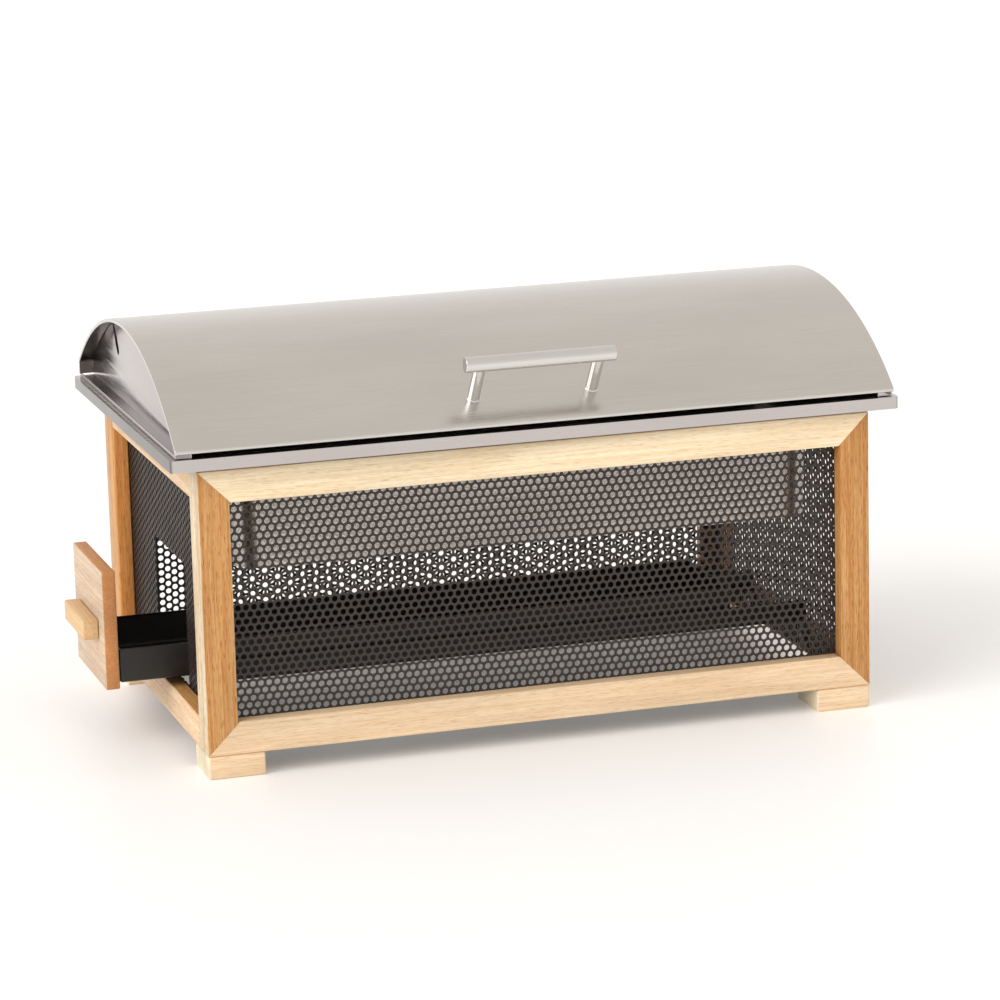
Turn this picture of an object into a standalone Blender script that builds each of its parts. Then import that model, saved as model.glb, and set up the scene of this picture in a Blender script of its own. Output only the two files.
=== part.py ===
"""Chafing dish food warmer: oak base, perforated panels, fuel drawer, water pan, food pan, hinged lid.

X runs along the length, Y from front to back, Z up. The base stands on Z = 0. Shapes are first drawn about
the middle of the base; the whole assembly is then moved so that its outer box is centred on the origin.
"""

import math

import bmesh
import bpy
from mathutils import Matrix, Vector

MM = 0.001

# Clearance kept between neighbouring solids.
GAP = 0.3 * MM

# Oak base.
BASE_LENGTH = 540 * MM
BASE_DEPTH = 335 * MM
BASE_TOP = 240 * MM
FOOT_HEIGHT = 18.5 * MM
FOOT_WIDTH = 44.5 * MM
TIMBER_THICKNESS = 12.7 * MM
STILE_WIDTH = 24 * MM
RAIL_HEIGHT = 25.2 * MM
SIDE_STILE_WIDTH = 16.5 * MM
TIMBER_EDGE = 0.8 * MM
FOOT_EDGE = 1.2 * MM

# Perforated panels, on the inner faces of the timber.
PANEL_THICKNESS = 1 * MM
PANEL_EDGE_INSET = 1.5 * MM
CUTOUT_HALF_WIDTH = 54.7 * MM
CUTOUT_TOP = 142.6 * MM

# Fuel drawer. It is drawn open by DRAWER_OPEN.
DRAWER_OPEN = 53.6 * MM
DRAWER_FRONT_WIDTH = 107.4 * MM
DRAWER_FRONT_BOTTOM = 47.3 * MM
DRAWER_FRONT_HEIGHT = 95 * MM
DRAWER_FRONT_THICKNESS = 11.2 * MM
PULL_WIDTH = 72 * MM
PULL_BOTTOM = 84.5 * MM
PULL_HEIGHT = 16 * MM
PULL_DEPTH = 12.4 * MM
TRAY_LENGTH = 508 * MM
TRAY_WIDTH = 104 * MM
TRAY_BOTTOM = 51.5 * MM
TRAY_HEIGHT = 27 * MM
TRAY_WALL = 1.2 * MM
RUNNER_WALL = 1.2 * MM
RUNNER_BOTTOM = 45 * MM
RUNNER_TOP = 62 * MM
RUNNER_LEDGE = 12 * MM
RUNNER_TAB_WIDTH = 14 * MM
RUNNER_TAB_BOTTOM = 24 * MM
RUNNER_CLEARANCE = 1 * MM

# Water pan: half sizes along X and Y.
PAN_WALL = 1 * MM
RIM_HALF = (292 * MM, 177.5 * MM)
RIM_TOP = 252.5 * MM
RIM_BOTTOM = 243 * MM
RIM_CORNER = 4 * MM
RECESS_HALF = (265.5 * MM, 163 * MM)
RECESS_CORNER = 22 * MM
WELL_TOP_HALF = (240 * MM, 142 * MM)
WELL_FLOOR_HALF = (229 * MM, 131 * MM)
WELL_CORNER = 30 * MM
WELL_BOTTOM = 153 * MM
WELL_FOOT_RADIUS = 9 * MM
RIM_EDGE_RADIUS = 1.5 * MM

# Food pan.
FOOD_FLANGE_HALF = (264 * MM, 161.5 * MM)
FOOD_FLANGE_TOP = 247 * MM
FOOD_TOP_HALF = (232 * MM, 134 * MM)
FOOD_FLOOR_HALF = (220 * MM, 122 * MM)
FOOD_BOTTOM = 188 * MM
FOOD_CORNER = 26 * MM
FOOD_FOOT_RADIUS = 8 * MM

# Lid.
LID_HALF_LENGTH = 288 * MM
LID_WALL = 1 * MM
LID_FRONT = -176.5 * MM
LID_BACK = 175 * MM
LID_CROWN_TOP = 326 * MM
LID_FRONT_HEM = (256.5 * MM, 259.5 * MM)
LID_BACK_BAND = (254.6 * MM, 266 * MM)
LID_FRONT_STEPS = 18
LID_BACK_STEPS = 18
END_PLATE_OUTER = 276 * MM
END_FLANGE_TOP = 253.8 * MM
END_LIP_TOP = 256 * MM
END_FLANGE_SETBACK = 2 * MM
SLOT_OUTER_END = (87 * MM, 311 * MM)
SLOT_INNER_END = (71 * MM, 292.5 * MM)
SLOT_WIDTH = 3.6 * MM

# Handle on the lid's front slope.
HANDLE_ANGLE = math.radians(-35.4)
HANDLE_CENTRE_X = -1.5 * MM
HANDLE_HEIGHT = 36.4 * MM
HANDLE_LENGTH = 120 * MM
HANDLE_RADIUS = 6 * MM
POST_SPACING = 95 * MM
POST_RADIUS = 4.75 * MM
HANDLE_SCREW_RADIUS = 5 * MM
HANDLE_SCREW_HEIGHT = 2.6 * MM

# Hinges at the rear.
HINGE_X = 200 * MM
HINGE_AXIS_Y = 181.5 * MM
HINGE_AXIS_Z = 254.5 * MM
HINGE_WIDTH = 36 * MM
KNUCKLE_WIDTH = 12 * MM
KNUCKLE_RADIUS = 3 * MM
PIN_RADIUS = 1.5 * MM
LEAF_THICKNESS = 1.2 * MM

# Screws: radius and height of each head, and the places of the pairs.
TRAY_SCREW = (4 * MM, 2.2 * MM)
TRAY_SCREW_Y = 28 * MM
PULL_SCREW_Y = 20 * MM
RUNNER_SCREW = (3.5 * MM, 2 * MM)
RUNNER_SCREW_Z = 33 * MM
SCREW_STEPS = 16
SCREW_DOME = ((0, 1), (0.45, 0.97), (0.8, 0.72), (1, 0.4))

ROUND_STEPS = 24
CORNER_STEPS = 6
SHARP_ANGLE = 30
ROUND_SHARP_ANGLE = 40

HINGE_NOTCH_GAP = 0.8 * MM
HINGE_WEB_RISE = 1.6 * MM
PIN_STEPS = 16

COLOURS = {
    "oak": ((0.74, 0.52, 0.30, 1), 0.55, 0.0),
    "black_steel": ((0.02, 0.018, 0.017, 1), 0.5, 0.4),
    "stainless": ((0.62, 0.58, 0.54, 1), 0.3, 1.0),
    "bright_steel": ((0.72, 0.71, 0.69, 1), 0.2, 1.0),
}


def clear_scene():
    for item in list(bpy.data.objects):
        bpy.data.objects.remove(item, do_unlink=True)


def material(name):
    found = bpy.data.materials.get(name)
    if found:
        return found
    colour, roughness, metallic = COLOURS[name]
    made = bpy.data.materials.new(name)
    made.use_nodes = True
    shader = made.node_tree.nodes["Principled BSDF"]
    shader.inputs["Base Color"].default_value = colour
    shader.inputs["Roughness"].default_value = roughness
    shader.inputs["Metallic"].default_value = metallic
    return made


def empty(name, parent, place):
    """An empty that carries one body; its children are placed from it."""
    holder = bpy.data.objects.new(name, None)
    bpy.context.collection.objects.link(holder)
    holder.parent = parent
    holder.location = Vector(place) - origin_of(parent)
    return holder


def origin_of(holder):
    """Where a holder stands, in the base's own coordinates."""
    place = Vector((0, 0, 0))
    while holder is not None and holder.parent is not None:
        place += holder.location
        holder = holder.parent
    return place


def finish(mesh_data, name, finish_name, holder, smooth_angle=None):
    """Make an object from a bmesh drawn in base coordinates and hang it on its body's empty."""
    bmesh.ops.recalc_face_normals(mesh_data, faces=mesh_data.faces)
    bmesh.ops.translate(mesh_data, verts=mesh_data.verts, vec=-origin_of(holder))
    mesh = bpy.data.meshes.new(name)
    mesh_data.to_mesh(mesh)
    mesh_data.free()
    if smooth_angle is not None:
        mesh.shade_smooth()
        mesh.set_sharp_from_angle(angle=math.radians(smooth_angle))
    mesh.materials.append(material(finish_name))
    item = bpy.data.objects.new(name, mesh)
    bpy.context.collection.objects.link(item)
    item.parent = holder
    return item


def add_box(target, low, high):
    """Add a closed box between two corners."""
    middle = [(a + b) / 2 for a, b in zip(low, high)]
    size = [b - a for a, b in zip(low, high)]
    place = Matrix.Translation(middle) @ Matrix.Diagonal((*size, 1))
    bmesh.ops.create_cube(target, size=1, matrix=place)


def box(name, low, high, finish_name, holder):
    target = bmesh.new()
    add_box(target, low, high)
    return finish(target, name, finish_name, holder)


def add_prism(target, outline, axis, low, high):
    """Add a closed prism: an outline of points in the plane across an axis, between two places on it."""
    def point(u, v, w):
        return {"X": (w, u, v), "Y": (u, w, v), "Z": (u, v, w)}[axis]
    ends = [[target.verts.new(point(u, v, w)) for u, v in outline] for w in (low, high)]
    target.faces.new(ends[0])
    target.faces.new(list(reversed(ends[1])))
    count = len(outline)
    for i in range(count):
        j = (i + 1) % count
        target.faces.new((ends[0][i], ends[0][j], ends[1][j], ends[1][i]))


def add_rod(target, start, end, radius, steps=ROUND_STEPS, edge=0.0):
    """Add a closed round rod between two points, its ends chamfered by edge."""
    start, end = Vector(start), Vector(end)
    along = (end - start).normalized()
    turn = along.to_track_quat("Z", "Y").to_matrix()
    length = (end - start).length
    stations = [(0, radius), (length, radius)]
    if edge:
        stations = [(0, radius - edge), (edge, radius), (length - edge, radius), (length, radius - edge)]
    rings = []
    for height, ring_radius in stations:
        ring = []
        for i in range(steps):
            angle = 2 * math.pi * i / steps
            across = Vector((ring_radius * math.cos(angle), ring_radius * math.sin(angle), height))
            ring.append(target.verts.new(start + turn @ across))
        rings.append(ring)
    join_rings(target, rings)
    target.faces.new(rings[0])
    target.faces.new(list(reversed(rings[-1])))


def join_rings(target, rings):
    """Skin a list of equal rings of vertices with quads."""
    for lower, upper in zip(rings, rings[1:]):
        count = len(lower)
        for i in range(count):
            j = (i + 1) % count
            target.faces.new((lower[i], lower[j], upper[j], upper[i]))


def rounded_ring(target, half, corner, height):
    """A ring of vertices: a rectangle with round corners, about the base's middle."""
    ring = []
    for quarter, (sx, sy) in enumerate(((1, 1), (-1, 1), (-1, -1), (1, -1))):
        centre_x = sx * (half[0] - corner)
        centre_y = sy * (half[1] - corner)
        for i in range(CORNER_STEPS + 1):
            angle = math.pi / 2 * (quarter + i / CORNER_STEPS)
            ring.append(target.verts.new((centre_x + corner * math.cos(angle),
                                          centre_y + corner * math.sin(angle), height)))
    return ring


def grown(half, by):
    return (half[0] + by, half[1] + by)


def cutter(target, name, holder):
    """A hidden tool object for a Boolean."""
    item = finish(target, name, "oak", holder)
    item.hide_render = True
    item.display_type = "WIRE"
    return item


def boolean(item, tool, operation):
    change = item.modifiers.new(operation.lower(), "BOOLEAN")
    change.operation = operation
    change.solver = "EXACT"
    change.object = tool
    return change


def soften(item, width=TIMBER_EDGE):
    """A small bevel along the arrises of a piece of timber."""
    change = item.modifiers.new("arris", "BEVEL")
    change.width = width
    change.segments = 1
    change.limit_method = "ANGLE"
    change.angle_limit = math.radians(35)
    return item


# Oak base ----------------------------------------------------------------------------------------------


def picture_frame(side, y_low, y_high, base):
    """Four mitred pieces standing in the XZ plane, with the joints' gap along each mitre."""
    left, right = -BASE_LENGTH / 2, BASE_LENGTH / 2
    low, high = FOOT_HEIGHT, BASE_TOP
    inner_left, inner_right = left + STILE_WIDTH, right - STILE_WIDTH
    inner_low, inner_high = low + RAIL_HEIGHT, high - RAIL_HEIGHT
    slack = GAP / 2 * math.sqrt(2)
    pieces = {
        "top_rail": [(left + slack, high), (right - slack, high),
                     (inner_right - slack, inner_high), (inner_left + slack, inner_high)],
        "bottom_rail": [(left + slack, low), (right - slack, low),
                        (inner_right - slack, inner_low), (inner_left + slack, inner_low)],
        "left_stile": [(left, low + slack), (left, high - slack),
                       (inner_left, inner_high - slack), (inner_left, inner_low + slack)],
        "right_stile": [(right, low + slack), (right, high - slack),
                        (inner_right, inner_high - slack), (inner_right, inner_low + slack)],
    }
    for piece, outline in pieces.items():
        target = bmesh.new()
        add_prism(target, outline, "Y", y_low, y_high)
        soften(finish(target, f"{side}_{piece}", "oak", base))


def side_frame(side, x_low, x_high, base):
    """Top and bottom rails between two stiles, standing in the YZ plane between the picture frames."""
    front = -BASE_DEPTH / 2 + TIMBER_THICKNESS + GAP
    rear = BASE_DEPTH / 2 - TIMBER_THICKNESS - GAP
    stiles = {"front_stile": (front, front + SIDE_STILE_WIDTH), "rear_stile": (rear - SIDE_STILE_WIDTH, rear)}
    for piece, (y_low, y_high) in stiles.items():
        name = f"{side}_side_{piece}"
        soften(box(name, (x_low, y_low, FOOT_HEIGHT), (x_high, y_high, BASE_TOP), "oak", base))
    rails = {"bottom_rail": (FOOT_HEIGHT, FOOT_HEIGHT + RAIL_HEIGHT),
             "top_rail": (BASE_TOP - RAIL_HEIGHT, BASE_TOP)}
    y_low = front + SIDE_STILE_WIDTH + GAP
    y_high = rear - SIDE_STILE_WIDTH - GAP
    for piece, (z_low, z_high) in rails.items():
        soften(box(f"{side}_side_{piece}", (x_low, y_low, z_low), (x_high, y_high, z_high), "oak", base))


def feet(base):
    for row, sy in (("front", -1), ("rear", 1)):
        for side, sx in (("left", -1), ("right", 1)):
            xs = sorted((sx * BASE_LENGTH / 2, sx * (BASE_LENGTH / 2 - FOOT_WIDTH)))
            ys = sorted((sy * BASE_DEPTH / 2, sy * (BASE_DEPTH / 2 - FOOT_WIDTH)))
            low, high = (xs[0], ys[0], 0), (xs[1], ys[1], FOOT_HEIGHT - GAP)
            soften(box(f"foot_{row}_{side}", low, high, "oak", base), FOOT_EDGE)


def timber_base(base):
    half_length, half_depth = BASE_LENGTH / 2, BASE_DEPTH / 2
    picture_frame("front", -half_depth, -half_depth + TIMBER_THICKNESS, base)
    picture_frame("rear", half_depth - TIMBER_THICKNESS, half_depth, base)
    side_frame("left", -half_length, -half_length + TIMBER_THICKNESS, base)
    side_frame("right", half_length - TIMBER_THICKNESS, half_length, base)
    feet(base)


# Perforated panels -------------------------------------------------------------------------------------


def panels(base):
    """Thin panels on the timber's inner faces; the left one has the drawer's cut-out."""
    low, high = FOOT_HEIGHT + PANEL_EDGE_INSET, BASE_TOP - PANEL_EDGE_INSET
    inner_x = BASE_LENGTH / 2 - TIMBER_THICKNESS - GAP
    inner_y = BASE_DEPTH / 2 - TIMBER_THICKNESS - GAP
    long_side = inner_x
    short_side = inner_y - PANEL_THICKNESS - GAP
    box("front_mesh_panel", (-long_side, -inner_y, low), (long_side, -inner_y + PANEL_THICKNESS, high),
        "black_steel", base)
    box("rear_mesh_panel", (-long_side, inner_y - PANEL_THICKNESS, low), (long_side, inner_y, high),
        "black_steel", base)
    box("right_mesh_panel", (inner_x - PANEL_THICKNESS, -short_side, low), (inner_x, short_side, high),
        "black_steel", base)
    left = box("left_mesh_panel", (-inner_x, -short_side, low),
               (-inner_x + PANEL_THICKNESS, short_side, high), "black_steel", base)
    window = bmesh.new()
    add_box(window, (-inner_x - 5 * MM, -CUTOUT_HALF_WIDTH, FOOT_HEIGHT + RAIL_HEIGHT),
            (-inner_x + 5 * MM, CUTOUT_HALF_WIDTH, CUTOUT_TOP))
    boolean(left, cutter(window, "drawer_cutout", base), "DIFFERENCE")


# Fuel drawer -------------------------------------------------------------------------------------------


def drawer_front_inner_x():
    return -BASE_LENGTH / 2 - DRAWER_OPEN + DRAWER_FRONT_THICKNESS


def drawer(body):
    """Oak front and pull, and the open steel tray behind them."""
    inner_x = drawer_front_inner_x()
    outer_x = inner_x - DRAWER_FRONT_THICKNESS
    top = DRAWER_FRONT_BOTTOM + DRAWER_FRONT_HEIGHT
    half = DRAWER_FRONT_WIDTH / 2
    soften(box("drawer_front", (outer_x, -half, DRAWER_FRONT_BOTTOM), (inner_x, half, top), "oak", body))
    soften(box("drawer_pull", (outer_x - GAP - PULL_DEPTH, -PULL_WIDTH / 2, PULL_BOTTOM),
               (outer_x - GAP, PULL_WIDTH / 2, PULL_BOTTOM + PULL_HEIGHT), "oak", body))

    left = inner_x + GAP
    tray = box("drawer_tray", (left, -TRAY_WIDTH / 2, TRAY_BOTTOM),
               (left + TRAY_LENGTH, TRAY_WIDTH / 2, TRAY_BOTTOM + TRAY_HEIGHT), "black_steel", body)
    hollow = bmesh.new()
    add_box(hollow, (left + TRAY_WALL, -TRAY_WIDTH / 2 + TRAY_WALL, TRAY_BOTTOM + TRAY_WALL),
            (left + TRAY_LENGTH - TRAY_WALL, TRAY_WIDTH / 2 - TRAY_WALL, TRAY_BOTTOM + TRAY_HEIGHT + 5 * MM))
    boolean(tray, cutter(hollow, "tray_hollow", body), "DIFFERENCE")

    tray_inner_x = left + TRAY_WALL + GAP
    for side, sy in (("front", -1), ("rear", 1)):
        screw(f"drawer_front_screw_{side}", (tray_inner_x, sy * TRAY_SCREW_Y, TRAY_BOTTOM + TRAY_HEIGHT / 2),
              (1, 0, 0), *TRAY_SCREW, body)
        screw(f"drawer_pull_screw_{side}", (inner_x + GAP, sy * PULL_SCREW_Y, PULL_BOTTOM + PULL_HEIGHT / 2),
              (1, 0, 0), *TRAY_SCREW, body)


def screw(name, place, along, radius, height, holder):
    """A domed screw head standing on a face."""
    place, along = Vector(place), Vector(along).normalized()
    turn = along.to_track_quat("Z", "Y").to_matrix()
    target = bmesh.new()
    rings = []
    for rise, share in SCREW_DOME:
        ring = []
        for i in range(SCREW_STEPS):
            angle = 2 * math.pi * i / SCREW_STEPS
            reach = share * radius
            across = Vector((reach * math.cos(angle), reach * math.sin(angle), rise * height))
            ring.append(target.verts.new(place + turn @ across))
        rings.append(ring)
    join_rings(target, rings)
    target.faces.new(rings[0])
    target.faces.new(list(reversed(rings[-1])))
    return finish(target, name, "bright_steel", holder, ROUND_SHARP_ANGLE)


def runners(base):
    """Two rolled runners with a ledge for the tray and a tab at each end over the timber rail."""
    end_x = BASE_LENGTH / 2 - TIMBER_THICKNESS - 2 * GAP - PANEL_THICKNESS
    ledge_top = TRAY_BOTTOM - GAP
    web = TRAY_WIDTH / 2 + RUNNER_CLEARANCE
    for side, sy in (("front", -1), ("rear", 1)):
        outline = [(sy * web, RUNNER_TOP), (sy * web, ledge_top), (sy * (web - RUNNER_LEDGE), ledge_top),
                   (sy * (web - RUNNER_LEDGE), ledge_top - RUNNER_WALL), (sy * web, ledge_top - RUNNER_WALL),
                   (sy * web, RUNNER_BOTTOM), (sy * (web + RUNNER_WALL), RUNNER_BOTTOM),
                   (sy * (web + RUNNER_WALL), RUNNER_TOP)]
        target = bmesh.new()
        add_prism(target, outline, "X", -end_x, end_x)
        runner = finish(target, f"{side}_runner", "black_steel", base)
        tabs = bmesh.new()
        ys = sorted((sy * (web + RUNNER_WALL / 2), sy * (web + RUNNER_TAB_WIDTH)))
        for sx in (-1, 1):
            xs = sorted((sx * end_x, sx * (end_x - RUNNER_WALL)))
            add_box(tabs, (xs[0], ys[0], RUNNER_TAB_BOTTOM), (xs[1], ys[1], RUNNER_TOP))
        boolean(runner, cutter(tabs, f"{side}_runner_tabs", base), "UNION")
        for end, sx in (("left", -1), ("right", 1)):
            tab_middle = web + RUNNER_TAB_WIDTH / 2 + RUNNER_WALL
            place = (sx * (end_x - RUNNER_WALL - GAP), sy * tab_middle, RUNNER_SCREW_Z)
            screw(f"{side}_runner_screw_{end}", place, (-sx, 0, 0), *RUNNER_SCREW, base)


# Pans --------------------------------------------------------------------------------------------------


def shell_of_rings(name, stations, holder):
    """A pan: closed skin through rings given from the inner floor, over the rim, to the outer floor."""
    target = bmesh.new()
    rings = [rounded_ring(target, half, corner, height) for half, corner, height in stations]
    join_rings(target, rings)
    target.faces.new(rings[0])
    target.faces.new(list(reversed(rings[-1])))
    return finish(target, name, "stainless", holder, SHARP_ANGLE)


def water_pan(base):
    """Well, recess for the food pan resting on the timber, and a flat rim with a turned-down skirt."""
    wall = PAN_WALL
    edge = RIM_EDGE_RADIUS
    ledge = BASE_TOP + GAP
    floor = WELL_BOTTOM
    foot = WELL_FOOT_RADIUS
    stations = [
        (grown(WELL_FLOOR_HALF, -wall - foot), WELL_CORNER - foot, floor + wall),
        (grown(WELL_FLOOR_HALF, -wall - foot * 0.3), WELL_CORNER - foot * 0.3, floor + wall + foot * 0.3),
        (grown(WELL_FLOOR_HALF, -wall), WELL_CORNER, floor + wall + foot),
        (grown(WELL_TOP_HALF, -wall), WELL_CORNER, ledge - 2 * MM),
        (grown(WELL_TOP_HALF, 2 * MM), WELL_CORNER, ledge + wall),
        (grown(RECESS_HALF, -edge), RECESS_CORNER - edge, ledge + wall),
        (RECESS_HALF, RECESS_CORNER, ledge + wall + edge),
        (RECESS_HALF, RECESS_CORNER, RIM_TOP - edge),
        (grown(RECESS_HALF, edge), RECESS_CORNER, RIM_TOP),
        (grown(RIM_HALF, -edge), RIM_CORNER - edge, RIM_TOP),
        (grown(RIM_HALF, -0.4 * MM), RIM_CORNER - 0.4 * MM, RIM_TOP - 0.5 * MM),
        (RIM_HALF, RIM_CORNER, RIM_TOP - 1.6 * MM),
        (RIM_HALF, RIM_CORNER, RIM_BOTTOM),
        (grown(RIM_HALF, -wall), RIM_CORNER - wall, RIM_BOTTOM),
        (grown(RIM_HALF, -wall), RIM_CORNER - wall, RIM_TOP - 2 * wall),
        (grown(RIM_HALF, -2 * wall), RIM_CORNER - 2 * wall, RIM_TOP - wall),
        (grown(RECESS_HALF, edge + wall), RECESS_CORNER + wall, RIM_TOP - wall),
        (grown(RECESS_HALF, wall), RECESS_CORNER + wall, RIM_TOP - wall - edge),
        (grown(RECESS_HALF, wall), RECESS_CORNER + wall, ledge + edge),
        (grown(RECESS_HALF, -1 * MM), RECESS_CORNER - 1 * MM, ledge),
        (grown(WELL_TOP_HALF, 3 * MM), WELL_CORNER, ledge),
        (WELL_TOP_HALF, WELL_CORNER, ledge - 3 * MM),
        (WELL_FLOOR_HALF, WELL_CORNER, floor + foot),
        (grown(WELL_FLOOR_HALF, -foot * 0.3), WELL_CORNER - foot * 0.3, floor + foot * 0.3),
        (grown(WELL_FLOOR_HALF, -foot), WELL_CORNER - foot, floor),
    ]
    shell_of_rings("water_pan", stations, base)


def food_pan(base):
    """Loose pan whose turned-down flange edge stands in the water pan's recess."""
    wall = PAN_WALL
    ledge = BASE_TOP + GAP + PAN_WALL + GAP
    floor = FOOD_BOTTOM
    foot = FOOD_FOOT_RADIUS
    corner = FOOD_CORNER
    edge = RIM_EDGE_RADIUS
    flange_corner = RECESS_CORNER - edge
    stations = [
        (grown(FOOD_FLOOR_HALF, -wall - foot), corner - foot, floor + wall),
        (grown(FOOD_FLOOR_HALF, -wall - foot * 0.3), corner - foot * 0.3, floor + wall + foot * 0.3),
        (grown(FOOD_FLOOR_HALF, -wall), corner, floor + wall + foot),
        (grown(FOOD_TOP_HALF, -wall), corner, FOOD_FLANGE_TOP - 2 * MM),
        (grown(FOOD_TOP_HALF, 1 * MM), corner, FOOD_FLANGE_TOP),
        (grown(FOOD_FLANGE_HALF, -edge), flange_corner - edge, FOOD_FLANGE_TOP),
        (FOOD_FLANGE_HALF, flange_corner, FOOD_FLANGE_TOP - edge),
        (FOOD_FLANGE_HALF, flange_corner, ledge),
        (grown(FOOD_FLANGE_HALF, -wall), flange_corner - wall, ledge),
        (grown(FOOD_FLANGE_HALF, -wall), flange_corner - wall, FOOD_FLANGE_TOP - 2 * MM),
        (grown(FOOD_FLANGE_HALF, -2 * MM), flange_corner - 2 * MM, FOOD_FLANGE_TOP - wall),
        (grown(FOOD_TOP_HALF, 1.5 * MM), corner, FOOD_FLANGE_TOP - wall),
        (FOOD_TOP_HALF, corner, FOOD_FLANGE_TOP - 3 * MM),
        (FOOD_FLOOR_HALF, corner, floor + foot),
        (grown(FOOD_FLOOR_HALF, -foot * 0.3), corner - foot * 0.3, floor + foot * 0.3),
        (grown(FOOD_FLOOR_HALF, -foot), corner - foot, floor),
    ]
    shell_of_rings("food_pan", stations, base)


# Lid ---------------------------------------------------------------------------------------------------


def arc_radius(run, rise):
    return (run * run + rise * rise) / (2 * rise)


def lid_profile(inset):
    """Points (y, z) of the lid's section from the front hem to the rear band, moved inwards by inset."""
    points = [(LID_FRONT + inset, LID_FRONT_HEM[0])]
    run, rise = -LID_FRONT, LID_CROWN_TOP - LID_FRONT_HEM[1]
    radius = arc_radius(run, rise)
    reach = math.asin((run - inset) / (radius - inset))
    for i in range(LID_FRONT_STEPS):
        angle = -reach * (1 - i / LID_FRONT_STEPS)
        points.append(((radius - inset) * math.sin(angle),
                       LID_CROWN_TOP - radius + (radius - inset) * math.cos(angle)))
    run, rise = LID_BACK, LID_CROWN_TOP - LID_BACK_BAND[1]
    radius = arc_radius(run, rise)
    reach = math.asin((run - inset) / (radius - inset))
    for i in range(LID_BACK_STEPS + 1):
        angle = reach * i / LID_BACK_STEPS
        points.append(((radius - inset) * math.sin(angle),
                       LID_CROWN_TOP - radius + (radius - inset) * math.cos(angle)))
    points.append((LID_BACK - inset, LID_BACK_BAND[0]))
    return points


def lid_shell(body):
    target = bmesh.new()
    outer, inner = lid_profile(0), lid_profile(LID_WALL)
    ends = []
    for x in (-LID_HALF_LENGTH, LID_HALF_LENGTH):
        ends.append([[target.verts.new((x, y, z)) for y, z in line] for line in (outer, inner)])
    count = len(outer)
    for i in range(count - 1):
        (outer_a, inner_a), (outer_b, inner_b) = ends
        target.faces.new((outer_a[i], outer_a[i + 1], outer_b[i + 1], outer_b[i]))
        target.faces.new((inner_a[i], inner_b[i], inner_b[i + 1], inner_a[i + 1]))
        for outer_line, inner_line in ends:
            target.faces.new((outer_line[i], inner_line[i], inner_line[i + 1], outer_line[i + 1]))
    for i in (0, count - 1):
        (outer_a, inner_a), (outer_b, inner_b) = ends
        target.faces.new((outer_a[i], outer_b[i], inner_b[i], inner_a[i]))
    finish(target, "lid_shell", "stainless", body, SHARP_ANGLE)


def end_plates(body):
    """Upright plates inside the shell's ends, each with a flange turned outwards and a lip at its edge."""
    flange_low = RIM_TOP + GAP
    outline = [(y, z) for y, z in lid_profile(LID_WALL + GAP)]
    outline[0] = (outline[0][0], flange_low)
    outline[-1] = (outline[-1][0], flange_low)
    for side, sx in (("left", -1), ("right", 1)):
        plate = bmesh.new()
        xs = sorted((sx * END_PLATE_OUTER, sx * (END_PLATE_OUTER - LID_WALL)))
        add_prism(plate, outline, "X", xs[0], xs[1])
        item = finish(plate, f"lid_{side}_end_plate", "stainless", body)
        y_low, y_high = outline[0][0] + END_FLANGE_SETBACK, outline[-1][0] - END_FLANGE_SETBACK
        edge = LID_HALF_LENGTH - GAP
        for part, inner, top in (("flange", END_PLATE_OUTER - LID_WALL / 2, END_FLANGE_TOP),
                                 ("lip", edge - LID_WALL, END_LIP_TOP)):
            strip = bmesh.new()
            xs = sorted((sx * inner, sx * edge))
            add_box(strip, (xs[0], y_low, flange_low), (xs[1], y_high, top))
            boolean(item, cutter(strip, f"lid_{side}_{part}", body), "UNION")
        if side == "left":
            boolean(item, slot_cutter(body), "DIFFERENCE")


def slot_cutter(body):
    """A narrow slot that runs inwards from the top edge of the left end plate."""
    start, end = Vector(SLOT_OUTER_END), Vector(SLOT_INNER_END)
    along = (end - start).normalized()
    across = Vector((-along.y, along.x)) * SLOT_WIDTH / 2
    start -= along * 8 * MM
    corners = [start + across, end + across, end + along * SLOT_WIDTH / 2, end - across, start - across]
    target = bmesh.new()
    add_prism(target, [tuple(c) for c in corners], "X", -END_PLATE_OUTER - 3 * MM, -END_PLATE_OUTER + 4 * MM)
    return cutter(target, "lid_slot", body)


def handle_axes():
    """Foot of the handle on the lid's front slope, and the slope's outward direction, as (y, z)."""
    radius = arc_radius(-LID_FRONT, LID_CROWN_TOP - LID_FRONT_HEM[1])
    outward = Vector((0, math.sin(HANDLE_ANGLE), math.cos(HANDLE_ANGLE)))
    centre = Vector((0, 0, LID_CROWN_TOP - radius))
    return centre, outward, radius


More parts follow.
